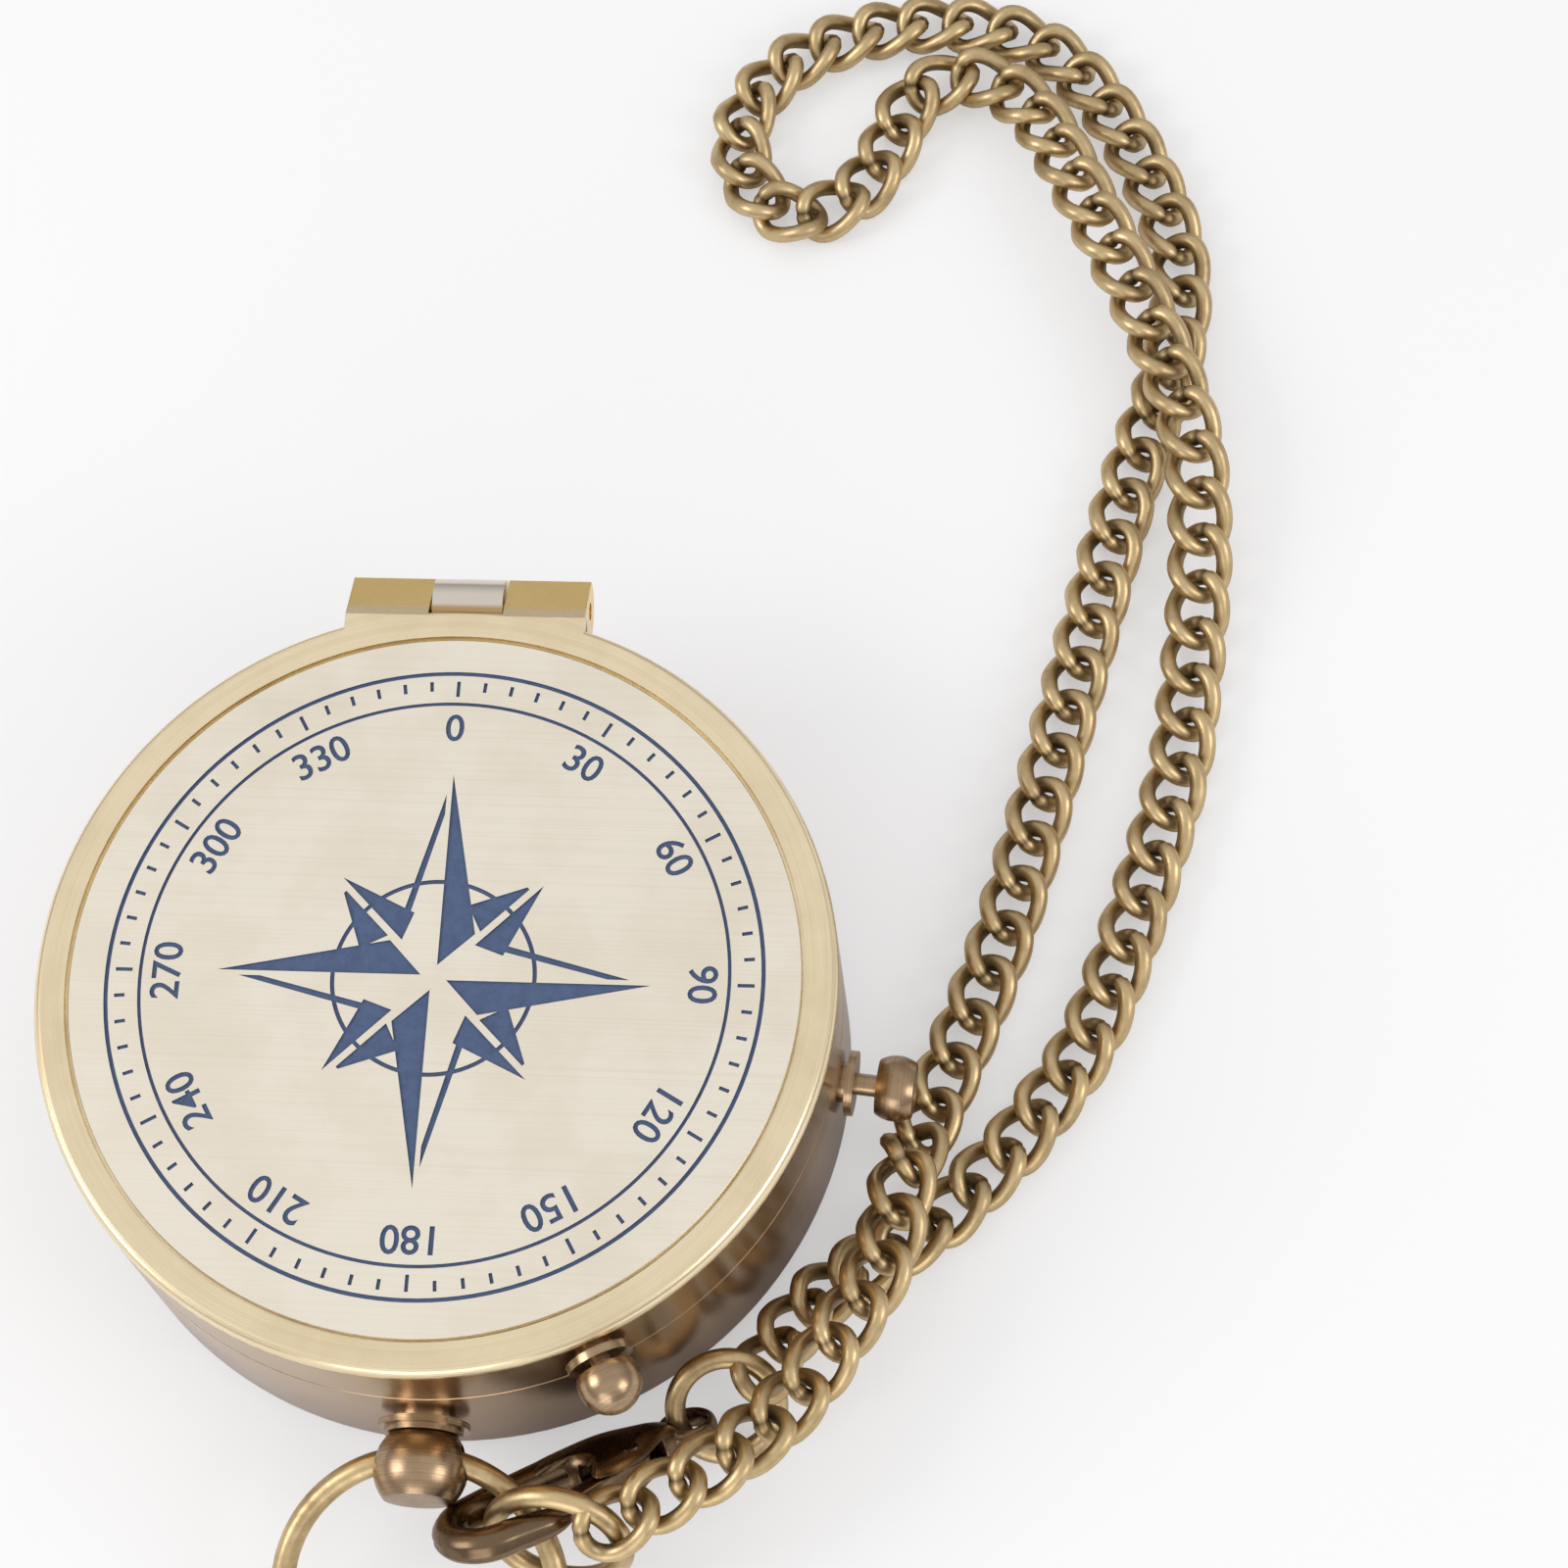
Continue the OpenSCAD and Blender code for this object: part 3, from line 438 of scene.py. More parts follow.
def blend_colour(t, share, a, b):
    """Mixes two colours by a share."""
    node = t.add("ShaderNodeMix", data_type="RGBA")
    for socket, value in ((node.inputs["Factor"], share), (node.inputs[6], a), (node.inputs[7], b)):
        if isinstance(value, bpy.types.NodeSocket):
            t.link(value, socket)
        else:
            socket.default_value = (*tuple(value)[:3], 1.0)
    return node.outputs[2]


def spread(t, value, low, high, to_low, to_high):
    """Maps a value from one range to another, held at its ends."""
    node = t.add("ShaderNodeMapRange", clamp=True)
    t.fill(node, Value=value, From_Min=low, From_Max=high, To_Min=to_low, To_Max=to_high)
    return node.outputs[0]


def noise(t, place, scale, detail, rough):
    """A noise texture's value at a place."""
    node = t.add("ShaderNodeTexNoise", noise_dimensions="3D")
    t.fill(node, Vector=place, Scale=scale, Detail=detail, Roughness=rough)
    return node.outputs["Fac"]


def roughen(t, shader, height, strength):
    """Raises fine bumps on a shader by a height."""
    relief = t.add("ShaderNodeBump")
    t.fill(relief, Strength=strength, Distance=RELIEF_DEPTH, Height=height)
    t.link(relief.outputs[0], shader.inputs["Normal"])


# Finishes

RELIEF_DEPTH = 0.00004
WANDER = 60.0  # how strongly tool marks stray from their line
SCRATCH_SCALE = 2600.0
# The parts of a noise's range over which clouds, tool marks, dirt and gloss come in
CLOUD_EDGES, MARK_EDGES = (0.42, 0.72), (0.46, 0.80)
DIRT_EDGES, GLOSS_EDGES = (0.4, 0.7), (0.3, 0.7)


def metal(name, colour, dark, rough, grain=None, along=(0, 0, 1), marks=9000.0, marks_share=0.35,
          bump=0.10, spots=0.35, spot_scale=260.0, foot=None, back=None, hollows=False):
    """A worn metal with tool marks, darker clouds and fine scratches.

    Foot is a darker colour low on the piece, painted shade where the wall rounds under towards the
    floor, and back one at its rear, each with the heights or depths between which it blends.
    Hollows darkens where the mesh's hollow attribute says.
    """
    material, t, shader = new_material(name)
    place = t.add("ShaderNodeTexCoord").outputs["Object"]
    clouds = noise(t, place, spot_scale, 4.0, 0.6)
    body = blend_colour(t, spread(t, clouds, *CLOUD_EDGES, 0.0, spots), colour, dark)
    if grain:
        if grain == "rings":
            flat = t.vector("MULTIPLY", place, (1, 1, 0)).outputs[0]
            fine = t.vector("LENGTH", flat).outputs["Value"]
        else:
            across = tuple(along) if grain == "turned" else (0, 1, 0)
            fine = t.vector("DOT_PRODUCT", place, across).outputs["Value"]
        steps = t.packed(X=t.sum("MULTIPLY", fine, marks))
        stray = t.vector("MULTIPLY", place, (WANDER, WANDER, WANDER)).outputs[0]
        lines = noise(t, t.vector("ADD", steps, stray).outputs[0], 1.0, 4.0, 0.7)
        body = blend_colour(t, spread(t, lines, *MARK_EDGES, 0.0, marks_share), body, dark)
    else:
        lines = noise(t, place, SCRATCH_SCALE, 5.0, 0.65)
    # Painted shade: the colour darkens towards the piece's foot, where the wall rounds under
    # towards the floor
    if foot is not None:
        foot_shade_colour, low, high = foot
        share = spread(t, t.parts(place)[2], low, high, 1.0, 0.0)
        body = blend_colour(t, share, body, foot_shade_colour)
    if back is not None:
        back_colour, near, far = back
        share = spread(t, t.parts(place)[1], near, far, 0.0, 1.0)
        body = blend_colour(t, share, body, back_colour)
    if hollows:
        kept = t.add("ShaderNodeAttribute", attribute_type="GEOMETRY", attribute_name="hollow")
        worn = spread(t, clouds, *GLOSS_EDGES, 0.55, 1.0)
        stain = t.sum("MULTIPLY", kept.outputs["Fac"], worn)
        body = blend_colour(t, stain, body, colours().patina)
    t.link(body, shader.inputs["Base Color"])
    uneven = t.sum("ADD", t.sum("MULTIPLY", lines, 0.5), t.sum("MULTIPLY", clouds, 0.5))
    gloss = spread(t, uneven, *GLOSS_EDGES, rough * 0.75, rough * 1.35)
    t.link(gloss, shader.inputs["Roughness"])
    shader.inputs["Metallic"].default_value = 1.0
    roughen(t, shader, lines, bump)
    return material


def matt(name, colour, rough, dirt, share, scale, bump):
    """A paint, rubber or enamel with slight unevenness."""
    material, t, shader = new_material(name)
    place = t.add("ShaderNodeTexCoord").outputs["Object"]
    clouds = noise(t, place, scale, 5.0, 0.6)
    body = blend_colour(t, spread(t, clouds, *DIRT_EDGES, 0.0, share), colour, dirt)
    t.link(body, shader.inputs["Base Color"])
    gloss = spread(t, clouds, *GLOSS_EDGES, rough * 0.85, min(rough * 1.15, 1.0))
    t.link(gloss, shader.inputs["Roughness"])
    roughen(t, shader, clouds, bump)
    return material


def glass():
    """Clear watch glass with faint smears."""
    material, t, shader = new_material("watch glass")
    place = t.add("ShaderNodeTexCoord").outputs["Object"]
    smear = noise(t, place, 90.0, 2.0, 0.5)
    t.link(spread(t, smear, *DIRT_EDGES, 0.0, 0.03), shader.inputs["Roughness"])
    shader.inputs["Base Color"].default_value = (0.97, 0.99, 0.98, 1)
    shader.inputs["Transmission Weight"].default_value = 1.0
    shader.inputs["IOR"].default_value = 1.46
    return material


def level(angle):
    """A level direction, by its angle from X in degrees."""
    return math.cos(math.radians(angle)), math.sin(math.radians(angle)), 0


# The bow, the latch button and the lock knob point these ways
BOW_AXIS, LATCH_AXIS, LOCK_AXIS = (0, -1, 0), level(-63.2), level(-5.5)
# Heights between which the painted shade at the wall's foot blends in, and depths at which the
# hinge's colours begin
WALL_FOOT_SHADE = (0.001, 0.013)
KNUCKLE_BACK, LUGS_BACK = (0.0288, 0.0291), (0.0282, 0.0290)

DARK_COPPER = (0.13, 0.065, 0.03)
NICKEL = (0.74, 0.67, 0.57)

# What like finishes share
WALL_MARKS = {"grain": "turned", "marks": 14000.0, "marks_share": 0.30, "bump": 0.06,
              "spot_scale": 120.0}
KNOB_MARKS = {"grain": "turned", "marks": 9000.0, "marks_share": 0.55, "bump": 0.22,
              "spots": 0.35, "spot_scale": 500.0}
FINISHES = {}


def finish(name):
    """A finish by its name, made once."""
    if name in FINISHES:
        return FINISHES[name]
    c = colours()
    makers = {
        # The wall's dark colour serves its clouds and tool marks, and is also blended in low on the
        # wall as painted shade at its rounded foot
        "wall": lambda: metal(
            "turned bronze wall", c.wall, c.wall_low, 0.20, **WALL_MARKS, spots=0.25,
            foot=(c.wall_low, *WALL_FOOT_SHADE)),
        "band": lambda: metal(
            "turned bronze band", c.wall, (0.34, 0.2, 0.1), 0.20, **WALL_MARKS, spots=0.2,
            back=(NICKEL, *KNUCKLE_BACK)),
        "ring": lambda: metal(
            "faced cream ring", c.cream, (0.5, 0.33, 0.14), 0.26, "rings", marks_share=0.30,
            bump=0.06, spots=0.22, spot_scale=160.0, back=(c.gold, *LUGS_BACK)),
        "plate": lambda: metal(
            "brushed plate", c.plate, (0.52, 0.41, 0.24), 0.36, "brushed", marks=6500.0,
            marks_share=0.20, bump=0.08, spots=0.22, spot_scale=110.0),
        "gold": lambda: metal(
            "yellow brass", c.gold, (0.36, 0.2, 0.06), 0.27, "turned", (1, 0, 0), 7000.0,
            spots=0.4),
        "knob_lock": lambda: metal(
            "copper lock knob", c.copper, DARK_COPPER, 0.24, along=LOCK_AXIS, **KNOB_MARKS),
        "knob_latch": lambda: metal(
            "copper latch knob", c.copper, DARK_COPPER, 0.24, along=LATCH_AXIS, **KNOB_MARKS),
        "knob_bow": lambda: metal(
            "copper bow post", c.copper, DARK_COPPER, 0.26, "turned", BOW_AXIS, 8000.0, 0.55,
            bump=0.22, spot_scale=400.0),
        "antique": lambda: metal(
            "antique brass ring", c.antique, (0.15, 0.095, 0.04), 0.36, bump=0.14, spots=0.6,
            spot_scale=420.0),
        "chain": lambda: metal(
            "antique brass links", c.antique, (0.2, 0.14, 0.06), 0.40, bump=0.12, spots=0.45,
            spot_scale=380.0, hollows=True),
        "clasp": lambda: metal(
            "dark bronze clasp", c.clasp, (0.09, 0.055, 0.03), 0.25, spots=0.4, spot_scale=300.0),
        "steel": lambda: metal(
            "bright steel", c.steel, (0.3, 0.3, 0.32), 0.25, bump=0.08, spots=0.3,
            spot_scale=500.0),
        "blued": lambda: metal(
            "blued steel", (0.05, 0.09, 0.30), (0.02, 0.03, 0.12), 0.25, bump=0.05, spots=0.4,
            spot_scale=300.0),
        "dial": lambda: matt(
            "enamelled dial", c.paper, 0.38, (0.66, 0.6, 0.46), 0.22, 220.0, 0.03),
        "print": lambda: matt(
            "dial printing", (0.02, 0.02, 0.025), 0.45, (0.06, 0.05, 0.05), 0.3, 1500.0, 0.02),
        "red": lambda: matt(
            "dial red printing", (0.45, 0.03, 0.02), 0.45, (0.3, 0.02, 0.02), 0.3, 1500.0, 0.02),
        "rubber": lambda: matt(
            "black rubber", (0.025, 0.025, 0.027), 0.6, (0.06, 0.06, 0.06), 0.3, 1200.0, 0.1),
        "fill": lambda: matt(
            "slate blue engraving fill", c.ink, 0.5, (0.03, 0.045, 0.11), 0.45, 1400.0, 0.15),
        "glass": glass,
    }
    FINISHES[name] = makers[name]()
    return FINISHES[name]


NODE_FINISH = {
    "case_body": "wall", "bezel_band": "band", "gasket": "rubber", "glass": "glass",
    "dial": "dial", "dial_screws": "gold", "pivot_post": "gold", "needle": "blued",
    "needle_cap": "gold", "lifter_bracket": "gold", "lifter_pin": "steel",
    "lifter_lever": "steel", "lifter_collar": "gold", "lock_bush": "knob_lock",
    "lock_knob": "knob_lock", "lock_clip": "steel", "latch_bush": "knob_latch",
    "latch_button": "knob_latch", "latch_clip": "steel", "latch_spring": "steel",
    "latch_screw": "steel", "hinge_pin": "gold", "lid_frame": "ring", "lid_plate": "plate",
    "bow_collar": "knob_bow", "bow_post": "knob_bow", "bow_ring": "antique",
    "clasp_body": "clasp", "clasp_gate": "clasp", "clasp_rivet": "clasp",
    "clasp_spring": "steel", "jump_ring": "antique", "end_ring": "antique",
}


# What repeats


def new_group(name, inputs, result):
    """An empty Geometry Nodes tree with named inputs, its calls, its inputs and its result."""
    tree = bpy.data.node_groups.new(name, "GeometryNodeTree")
    tree.is_modifier = True
    for label, kind in inputs.items():
        tree.interface.new_socket(name=label, in_out="INPUT", socket_type="NodeSocket" + kind)
    tree.interface.new_socket(name=result, in_out="OUTPUT", socket_type="NodeSocketGeometry")
    t = Tree(tree)
    given = t.add("NodeGroupInput").outputs
    return tree, t, given, t.add("NodeGroupOutput").inputs[0]


def end_group(t, copies, given, result):
    """Ends a tree: makes its copies real and gives them their finish."""
    real = t.fill(t.add("GeometryNodeRealizeInstances"), Geometry=copies.outputs[0])
    painted = t.add("GeometryNodeSetMaterial")
    t.fill(painted, Geometry=real.outputs[0], Material=given["Finish"])
    t.link(painted.outputs[0], result)


def give(obj, tree, **values):
    """Adds a Geometry Nodes modifier and fills its named inputs."""
    modifier = obj.modifiers.new(tree.name, "NODES")
    modifier.node_group = tree
    known = {i.name: i.identifier for i in tree.interface.items_tree if i.in_out == "INPUT"}
    for name, value in values.items():
        modifier[known[name]] = value


# The chain


def lying(points, s):
    """The route let down to where the links lie, on the floor and on each other.

    Its ends stay with the rings.
    """
    rest, over = points[ON_FLOOR][2], points[OVER_CHAIN][2]
    line = []
    for i, (x, y, z) in enumerate(points):
        level_z = s.rest_level + (z - rest) * (s.over_level - s.rest_level) / (over - rest)
        loose = 1.0 if FIRST_HALF < i < LAST_HALF else 0.5 if i in (FIRST_HALF, LAST_HALF) else 0.0
        drop = (z - level_z) * loose
        line.append((x + DOWN_X * drop, y + DOWN_Y * drop, z - drop))
    return line


def link_mesh(s):
    """One twisted oval link along X, pinched at its butt joint.

    Its hollow attribute is 1 at the joint and nearly so on the inside of the wire.
    """
    steps, sides, joint = 42, 9, 2
    joint_share, deepest, fade = 0.84, 0.75, 1.5
    line = []
    for i in range(steps):
        turn = 2 * math.pi * i / steps
        line.append(Vector((s.link_length * math.cos(turn), s.link_width * math.sin(turn),
                            -s.link_twist * math.sin(2 * turn))))
    mesh = tube_loop("link", line, s.link_wire / 2, sides)
    values = []
    for i in range(steps):
        for k in range(sides):
            inside = max(0.0, -math.cos(2 * math.pi * k / sides))
            values.append(1.0 if i == joint else deepest * inside ** fade)
            if i == joint:
                point = mesh.vertices[i * sides + k]
                point.co = line[i].lerp(point.co, joint_share)
    hollow = mesh.attributes.new("hollow", "FLOAT", "POINT")
    hollow.data.foreach_set("value", values)
    return mesh


def chain_tree():
    """Links set at equal steps along the route, each turned along it."""
    inputs = {"Route": "Geometry", "Link": "Object", "Step": "Float", "Finish": "Material"}
    tree, t, given, result = new_group("links along a route", inputs, "Chain")
    places = t.add("GeometryNodeCurveToPoints", mode="LENGTH")
    t.fill(places, Curve=given["Route"], Length=given["Step"])
    ahead = t.add("FunctionNodeAlignRotationToVector", axis="X")
    t.fill(ahead, Vector=places.outputs["Tangent"])
    flat = t.add("FunctionNodeAlignRotationToVector", axis="Y", pivot_axis="X")
    t.fill(flat, Rotation=ahead.outputs[0], Vector=places.outputs["Normal"])
    link = t.add("GeometryNodeObjectInfo", transform_space="ORIGINAL")
    t.fill(link, Object=given["Link"])
    copies = t.add("GeometryNodeInstanceOnPoints")
    t.fill(copies, Points=places.outputs["Points"], Instance=link.outputs["Geometry"],
           Rotation=flat.outputs[0])
    end_group(t, copies, given, result)
    return tree


class COMPASS_OT_chain(bpy.types.Operator):
    """Lay the curb chain along its route"""

    bl_idname = "compass.chain"
    bl_label = "Chain"

    def execute(self, context):
        s = sizes()
        line = smooth_line(lying(CHAIN_ROUTE, s), 12)
        length = sum((b - a).length for a, b in zip(line, line[1:]))
        curve = bpy.data.curves.new("chain_route", "CURVE")
        curve.dimensions = "3D"
        curve.twist_mode = "Z_UP"
        spline = curve.splines.new("POLY")
        spline.points.add(len(line) - 1)
        for point, place in zip(spline.points, line):
            point.co = (*place, 1.0)
            point.tilt = s.link_roll
        chain = bpy.data.objects.new("chain", curve)
        context.scene.collection.objects.link(chain)
        link = new_piece("link", link_mesh(s))
        # Just under an even share of the length, so that the last link isn't lost to rounding
        step = length / round(length / s.link_step) * 0.99999
        give(chain, chain_tree(), Link=link, Step=step, Finish=finish("chain"))
        chain = settled(chain)
        bpy.data.objects.remove(link)
        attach(chain, "case")
        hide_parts("chain_right", "chain_left")
        return {"FINISHED"}


# The lid

# The rose's cut forms, as shares of its reach, drawn for the point that looks north. Each point
# has a filled right half and a thin or short left one.
LONG_POINT = [
    [(0.012, 0.06), (0.012, 1.0), (0.175, 0.215)],
    [(-0.012, 0.90), (-0.19, 0.215), (-0.16, 0.20), (-0.012, 0.80)],
]
SHORT_POINT = [
    [(0.012, 0.24), (0.012, 0.66), (0.14, 0.30)],
    [(-0.02, 0.30), (-0.02, 0.60), (-0.035, 0.60), (-0.155, 0.345), (-0.13, 0.335)],
]
ROSE_RING = (0.455, 0.475)


def rose_outlines(reach):
    """The cut outlines of an eight-point rose."""
    shapes = []
    for first_turn, point in ((45, SHORT_POINT), (0, LONG_POINT)):
        for turn in range(first_turn, 360, 90):
            c, s = math.cos(math.radians(-turn)), math.sin(math.radians(-turn))
            for form in point:
                scaled = [(x * reach, y * reach) for x, y in form]
                shapes.append([(x * c - y * s, x * s + y * c) for x, y in scaled])
    return shapes


def tick_tree():
    """Short bars set round a circle, every so many of them longer."""
    inputs = {"Base": "Geometry", "Radius": "Float", "Length": "Float", "Width": "Float",
              "Thickness": "Float", "Height": "Float", "Longer": "Float", "Count": "Int",
              "Every": "Int", "Finish": "Material"}
    tree, t, given, result = new_group("ticks round a circle", inputs, "Ticks")
    index = t.add("GeometryNodeInputIndex").outputs[0]
    angle = t.sum("MULTIPLY", t.sum("DIVIDE", index, given["Count"]), 2 * math.pi)
    long = t.sum("COMPARE", t.sum("MODULO", index, given["Every"]), 0.0, 0.1)
    grown = t.sum("MULTIPLY_ADD", long, t.sum("SUBTRACT", given["Longer"], 1.0), 1.0)
    reach = t.sum("MULTIPLY", given["Length"], grown)
    middle = t.sum("SUBTRACT", given["Radius"], t.sum("MULTIPLY", reach, 0.5))
    at = t.packed(X=t.sum("MULTIPLY", middle, t.sum("COSINE", angle)),
                  Y=t.sum("MULTIPLY", middle, t.sum("SINE", angle)), Z=given["Height"])
    points = t.fill(t.add("GeometryNodePoints"), Count=given["Count"], Position=at)
    size = t.packed(X=given["Length"], Y=given["Width"], Z=given["Thickness"])
    bar = t.fill(t.add("GeometryNodeMeshCube"), Size=size)
    copies = t.add("GeometryNodeInstanceOnPoints")
    t.fill(copies, Points=points.outputs[0], Instance=bar.outputs[0],
           Rotation=t.packed(Z=angle), Scale=t.packed(X=grown, Y=1.0, Z=1.0))
    end_group(t, copies, given, result)
    return tree


def tick_ring(name, **values):
    """A plain mesh of ticks from the tick tree."""
    holder = new_piece(name, bpy.data.meshes.new(name))
    give(holder, tick_tree(), **values)
    return settled(holder)


def plate_mesh(low, high):
    """The lid's round plate with its edges eased, between the corners of its CAD box."""
    edge, soft, steps = (high.x - low.x) / 2, 0.06 * MM, 180
    work = bmesh.new()
    rows = []
    for radius, z in ((edge - soft, low.z), (edge, low.z + soft), (edge, high.z - soft),
                      (edge - soft, high.z)):
        rows.append([work.verts.new((x, y, z)) for x, y in circle(radius, steps)])
    stack(work, rows)
    return mesh_of(work, "engraved_plate")


class COMPASS_OT_lid(bpy.types.Operator):
    """Cut the rose, the tick ring and plain numbers into the lid's plate"""

    bl_idname = "compass.lid"
    bl_label = "Lid engraving"

    def execute(self, context):
        s = sizes()
        low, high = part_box("lid_plate")
        fill, brushed = finish("fill"), finish("plate")
        plate = new_piece("engraved_plate", plate_mesh(low, high), brushed)
        cutter = self.cutter(s, high.z - s.engraving_depth, high.z + 0.1 * MM, fill)
        cut_out(plate, cutter, use_self=True, material_mode="TRANSFER")
        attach(plate, "lid")
        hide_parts("lid_plate")
        return {"FINISHED"}

    def cutter(self, s, floor, over, fill):
        """The engraving as a solid from its floor to over the plate."""
        outer = s.engraving_radius
        rings = ((outer - 0.3 * MM, outer), (outer - 2.65 * MM, outer - 2.4 * MM))
        tick_gap, tick_length, tick_width = 0.75 * MM, 0.75 * MM, 0.26 * MM
        number_size, number_drop = 2.9 * MM, 4.5 * MM
        work = bmesh.new()
        for outline in rose_outlines(s.rose_radius):
            prism(work, outline, floor, over)
        band(work, *(s.rose_radius * share for share in ROSE_RING), floor, over)
        for ring in rings:
            band(work, *ring, floor, over)
        lines = mesh_of(work, "lines")
        ticks = tick_ring("lid_ticks", Radius=outer - tick_gap, Length=tick_length,
                          Width=tick_width, Thickness=over - floor, Height=(over + floor) / 2,
                          Longer=1.6, Count=s.lid_ticks, Every=6, Finish=fill)
        place = (outer - number_drop, floor)
        numbers = [word_round(str(turn), number_size, over - floor, turn, *place)
                   for turn in range(0, 360, 30)]
        cutter = joined("cutter", [lines, ticks.data, *numbers], fill)
        face_outwards(cutter.data)
        set_faces(cutter.data, "material_index", 0)
        bpy.data.objects.remove(ticks)
        return cutter


# The dial


class COMPASS_OT_dial(bpy.types.Operator):
    """Print the dial's ticks, numbers and four points"""

    bl_idname = "compass.dial"
    bl_label = "Dial printing"

    def execute(self, context):
        s = sizes()
        low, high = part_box("dial")
        base, thick = high.z, 0.02 * MM
        outer = (high.x - low.x) / 2 - 1.9 * MM
        rings = ((outer + 0.25 * MM, outer + 0.45 * MM), (outer - 5.4 * MM, outer - 5.25 * MM))
        tick_length, tick_width = 0.8 * MM, 0.16 * MM
        number_size, letter_size, word_drop = 1.9 * MM, 3.0 * MM, 3.6 * MM
        rose_drop, post_clearance = 6.3 * MM, 3.0 * MM
        black, red = finish("print"), finish("red")
        ticks = tick_ring("ticks", Radius=outer, Length=tick_length, Width=tick_width,
                          Thickness=thick, Height=base + thick / 2, Longer=2.1,
                          Count=s.dial_ticks, Every=5, Finish=black)
        work = bmesh.new()
        for ring in rings:
            band(work, *ring, base, base + thick)
        for outline in rose_outlines(outer - rose_drop):
            if all(math.hypot(*p) >= post_clearance for p in outline):
                prism(work, outline, base, base + thick)
        lines = mesh_of(work, "lines")
        words = []
        for turn in range(0, 360, 30):
            text, size = str(turn), number_size
            if turn % 90 == 0:
                text, size = "NESW"[turn // 90], letter_size
            words.append(word_round(text, size, thick, turn, outer - word_drop, base))
        marks = joined("dial_printing", [ticks.data, lines, *words[1:]], black)
        set_faces(marks.data, "material_index", 0)
        north = joined("dial_north", [words[0]], red)
        bpy.data.objects.remove(ticks)
        for piece in (marks, north):
            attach(piece, "case")
        return {"FINISHED"}


# The clasp

# Where its eye's middle lies, in metres, and how it is turned, in degrees
CLASP_PLACE = (0.0179, -0.0271, 0.0026)
CLASP_HEADING, CLASP_TILT, CLASP_LEAN = -146, -22, 47
# Its forms, in millimetres: X runs from the eye to the bend and Z is square to its flat side
EYE_RADIUS, EYE_WIRE, EYE_HOLE = 1.82, 0.40, 1.42
BODY_OUTLINE = [
    (0.9, -0.9), (2.6, -2.1), (5.4, -3.45), (8.6, -3.85), (12.2, -3.7), (12.4, -1.9), (9.8, -1.3),
    (8.7, 0.6), (9.4, 2.6), (7.8, 3.5), (5.4, 3.3), (2.9, 2.0), (0.9, 0.9),
]
BODY_HALF = 1.6
SLOT_OUTLINE = [(2.9, -0.4), (7.4, -0.4), (8.8, -0.5), (10.6, 0.8), (10.6, 5.5), (2.9, 5.5)]
SLOT_HALF = 0.95
GATE_PIVOT, GATE_RUN = (5.5, 1.5, 0), (6.4, 1.1, 0)
GATE_HALF, GATE_HALF_WIDTH, GATE_END = 0.76, 0.72, 1.25
BEND_X, BEND_RADIUS, HOOK_WIRE = 16.8, 2.8, 1.18


def clasp_frame():
    """Where the clasp lies."""
    return (Matrix.Translation(CLASP_PLACE)
            @ Matrix.Rotation(math.radians(CLASP_HEADING), 4, "Z")
            @ Matrix.Rotation(math.radians(CLASP_TILT), 4, "Y")
            @ Matrix.Rotation(math.radians(CLASP_LEAN), 4, "X"))


def pillow(outline, half, layers=8):
    """A closed form over an outline, thickest in the middle and rounded off at its edge."""
    roundness, edge_share, fullness = 0.96, 0.30, 0.7
    x0, y0 = (sum(p[i] for p in outline) / len(outline) for i in (0, 1))
    work = bmesh.new()
    rows = []
    for layer in range(-layers, layers + 1):
        turn = math.radians(90) * layer / layers * roundness
        share = edge_share + (1 - edge_share) * math.cos(turn) ** fullness
        z = half * math.sin(turn)
        rows.append([work.verts.new((x0 + (x - x0) * share, y0 + (y - y0) * share, z))
                     for x, y in outline])
    stack(work, rows)
    bmesh.ops.recalc_face_normals(work, faces=work.faces)
    return mesh_of(work, "pillow")


def hook_line():
    """The hook's middle line with its wire's radius: the bar, the bend and the pointed arm."""
    bar_start, bar_run, bar_y, bar_bow, bar_wire, bar_taper = 7.0, 9.8, -2.15, 0.65, 1.42, 0.24
    arm_run, arm_rise, arm_bow, arm_taper, tip_taper = 4.75, 1.2, 1.15, 0.18, 0.62
    line = []
    for k in range(9):
        s = k / 8
        line.append((bar_start + bar_run * s, bar_y - bar_bow * math.sin(math.radians(90) * s),
                     bar_wire - bar_taper * s))
    for k in range(1, 21):
        turn = math.radians(-90 + 9 * k)
        line.append((BEND_X + BEND_RADIUS * math.cos(turn), BEND_RADIUS * math.sin(turn),
                     HOOK_WIRE))
    for k in range(1, 12):
        s = k / 11
        line.append((BEND_X - arm_run * s, BEND_RADIUS + arm_rise * s ** arm_bow,
                     HOOK_WIRE * (1 - arm_taper * s - tip_taper * s ** 5)))
    return line


def parting_ridge(turn):
    """A wire's radius as a share, with a groove between two low ridges along its outer side."""
    ridge, ridge_at, ridge_width, groove, groove_width = 0.05, 0.30, 0.14, 0.07, 0.13
    off = min(abs(turn), abs(2 * math.pi - turn))
    return (1 + ridge * math.exp(-((off - ridge_at) / ridge_width) ** 2)
            - groove * math.exp(-(off / groove_width) ** 2))


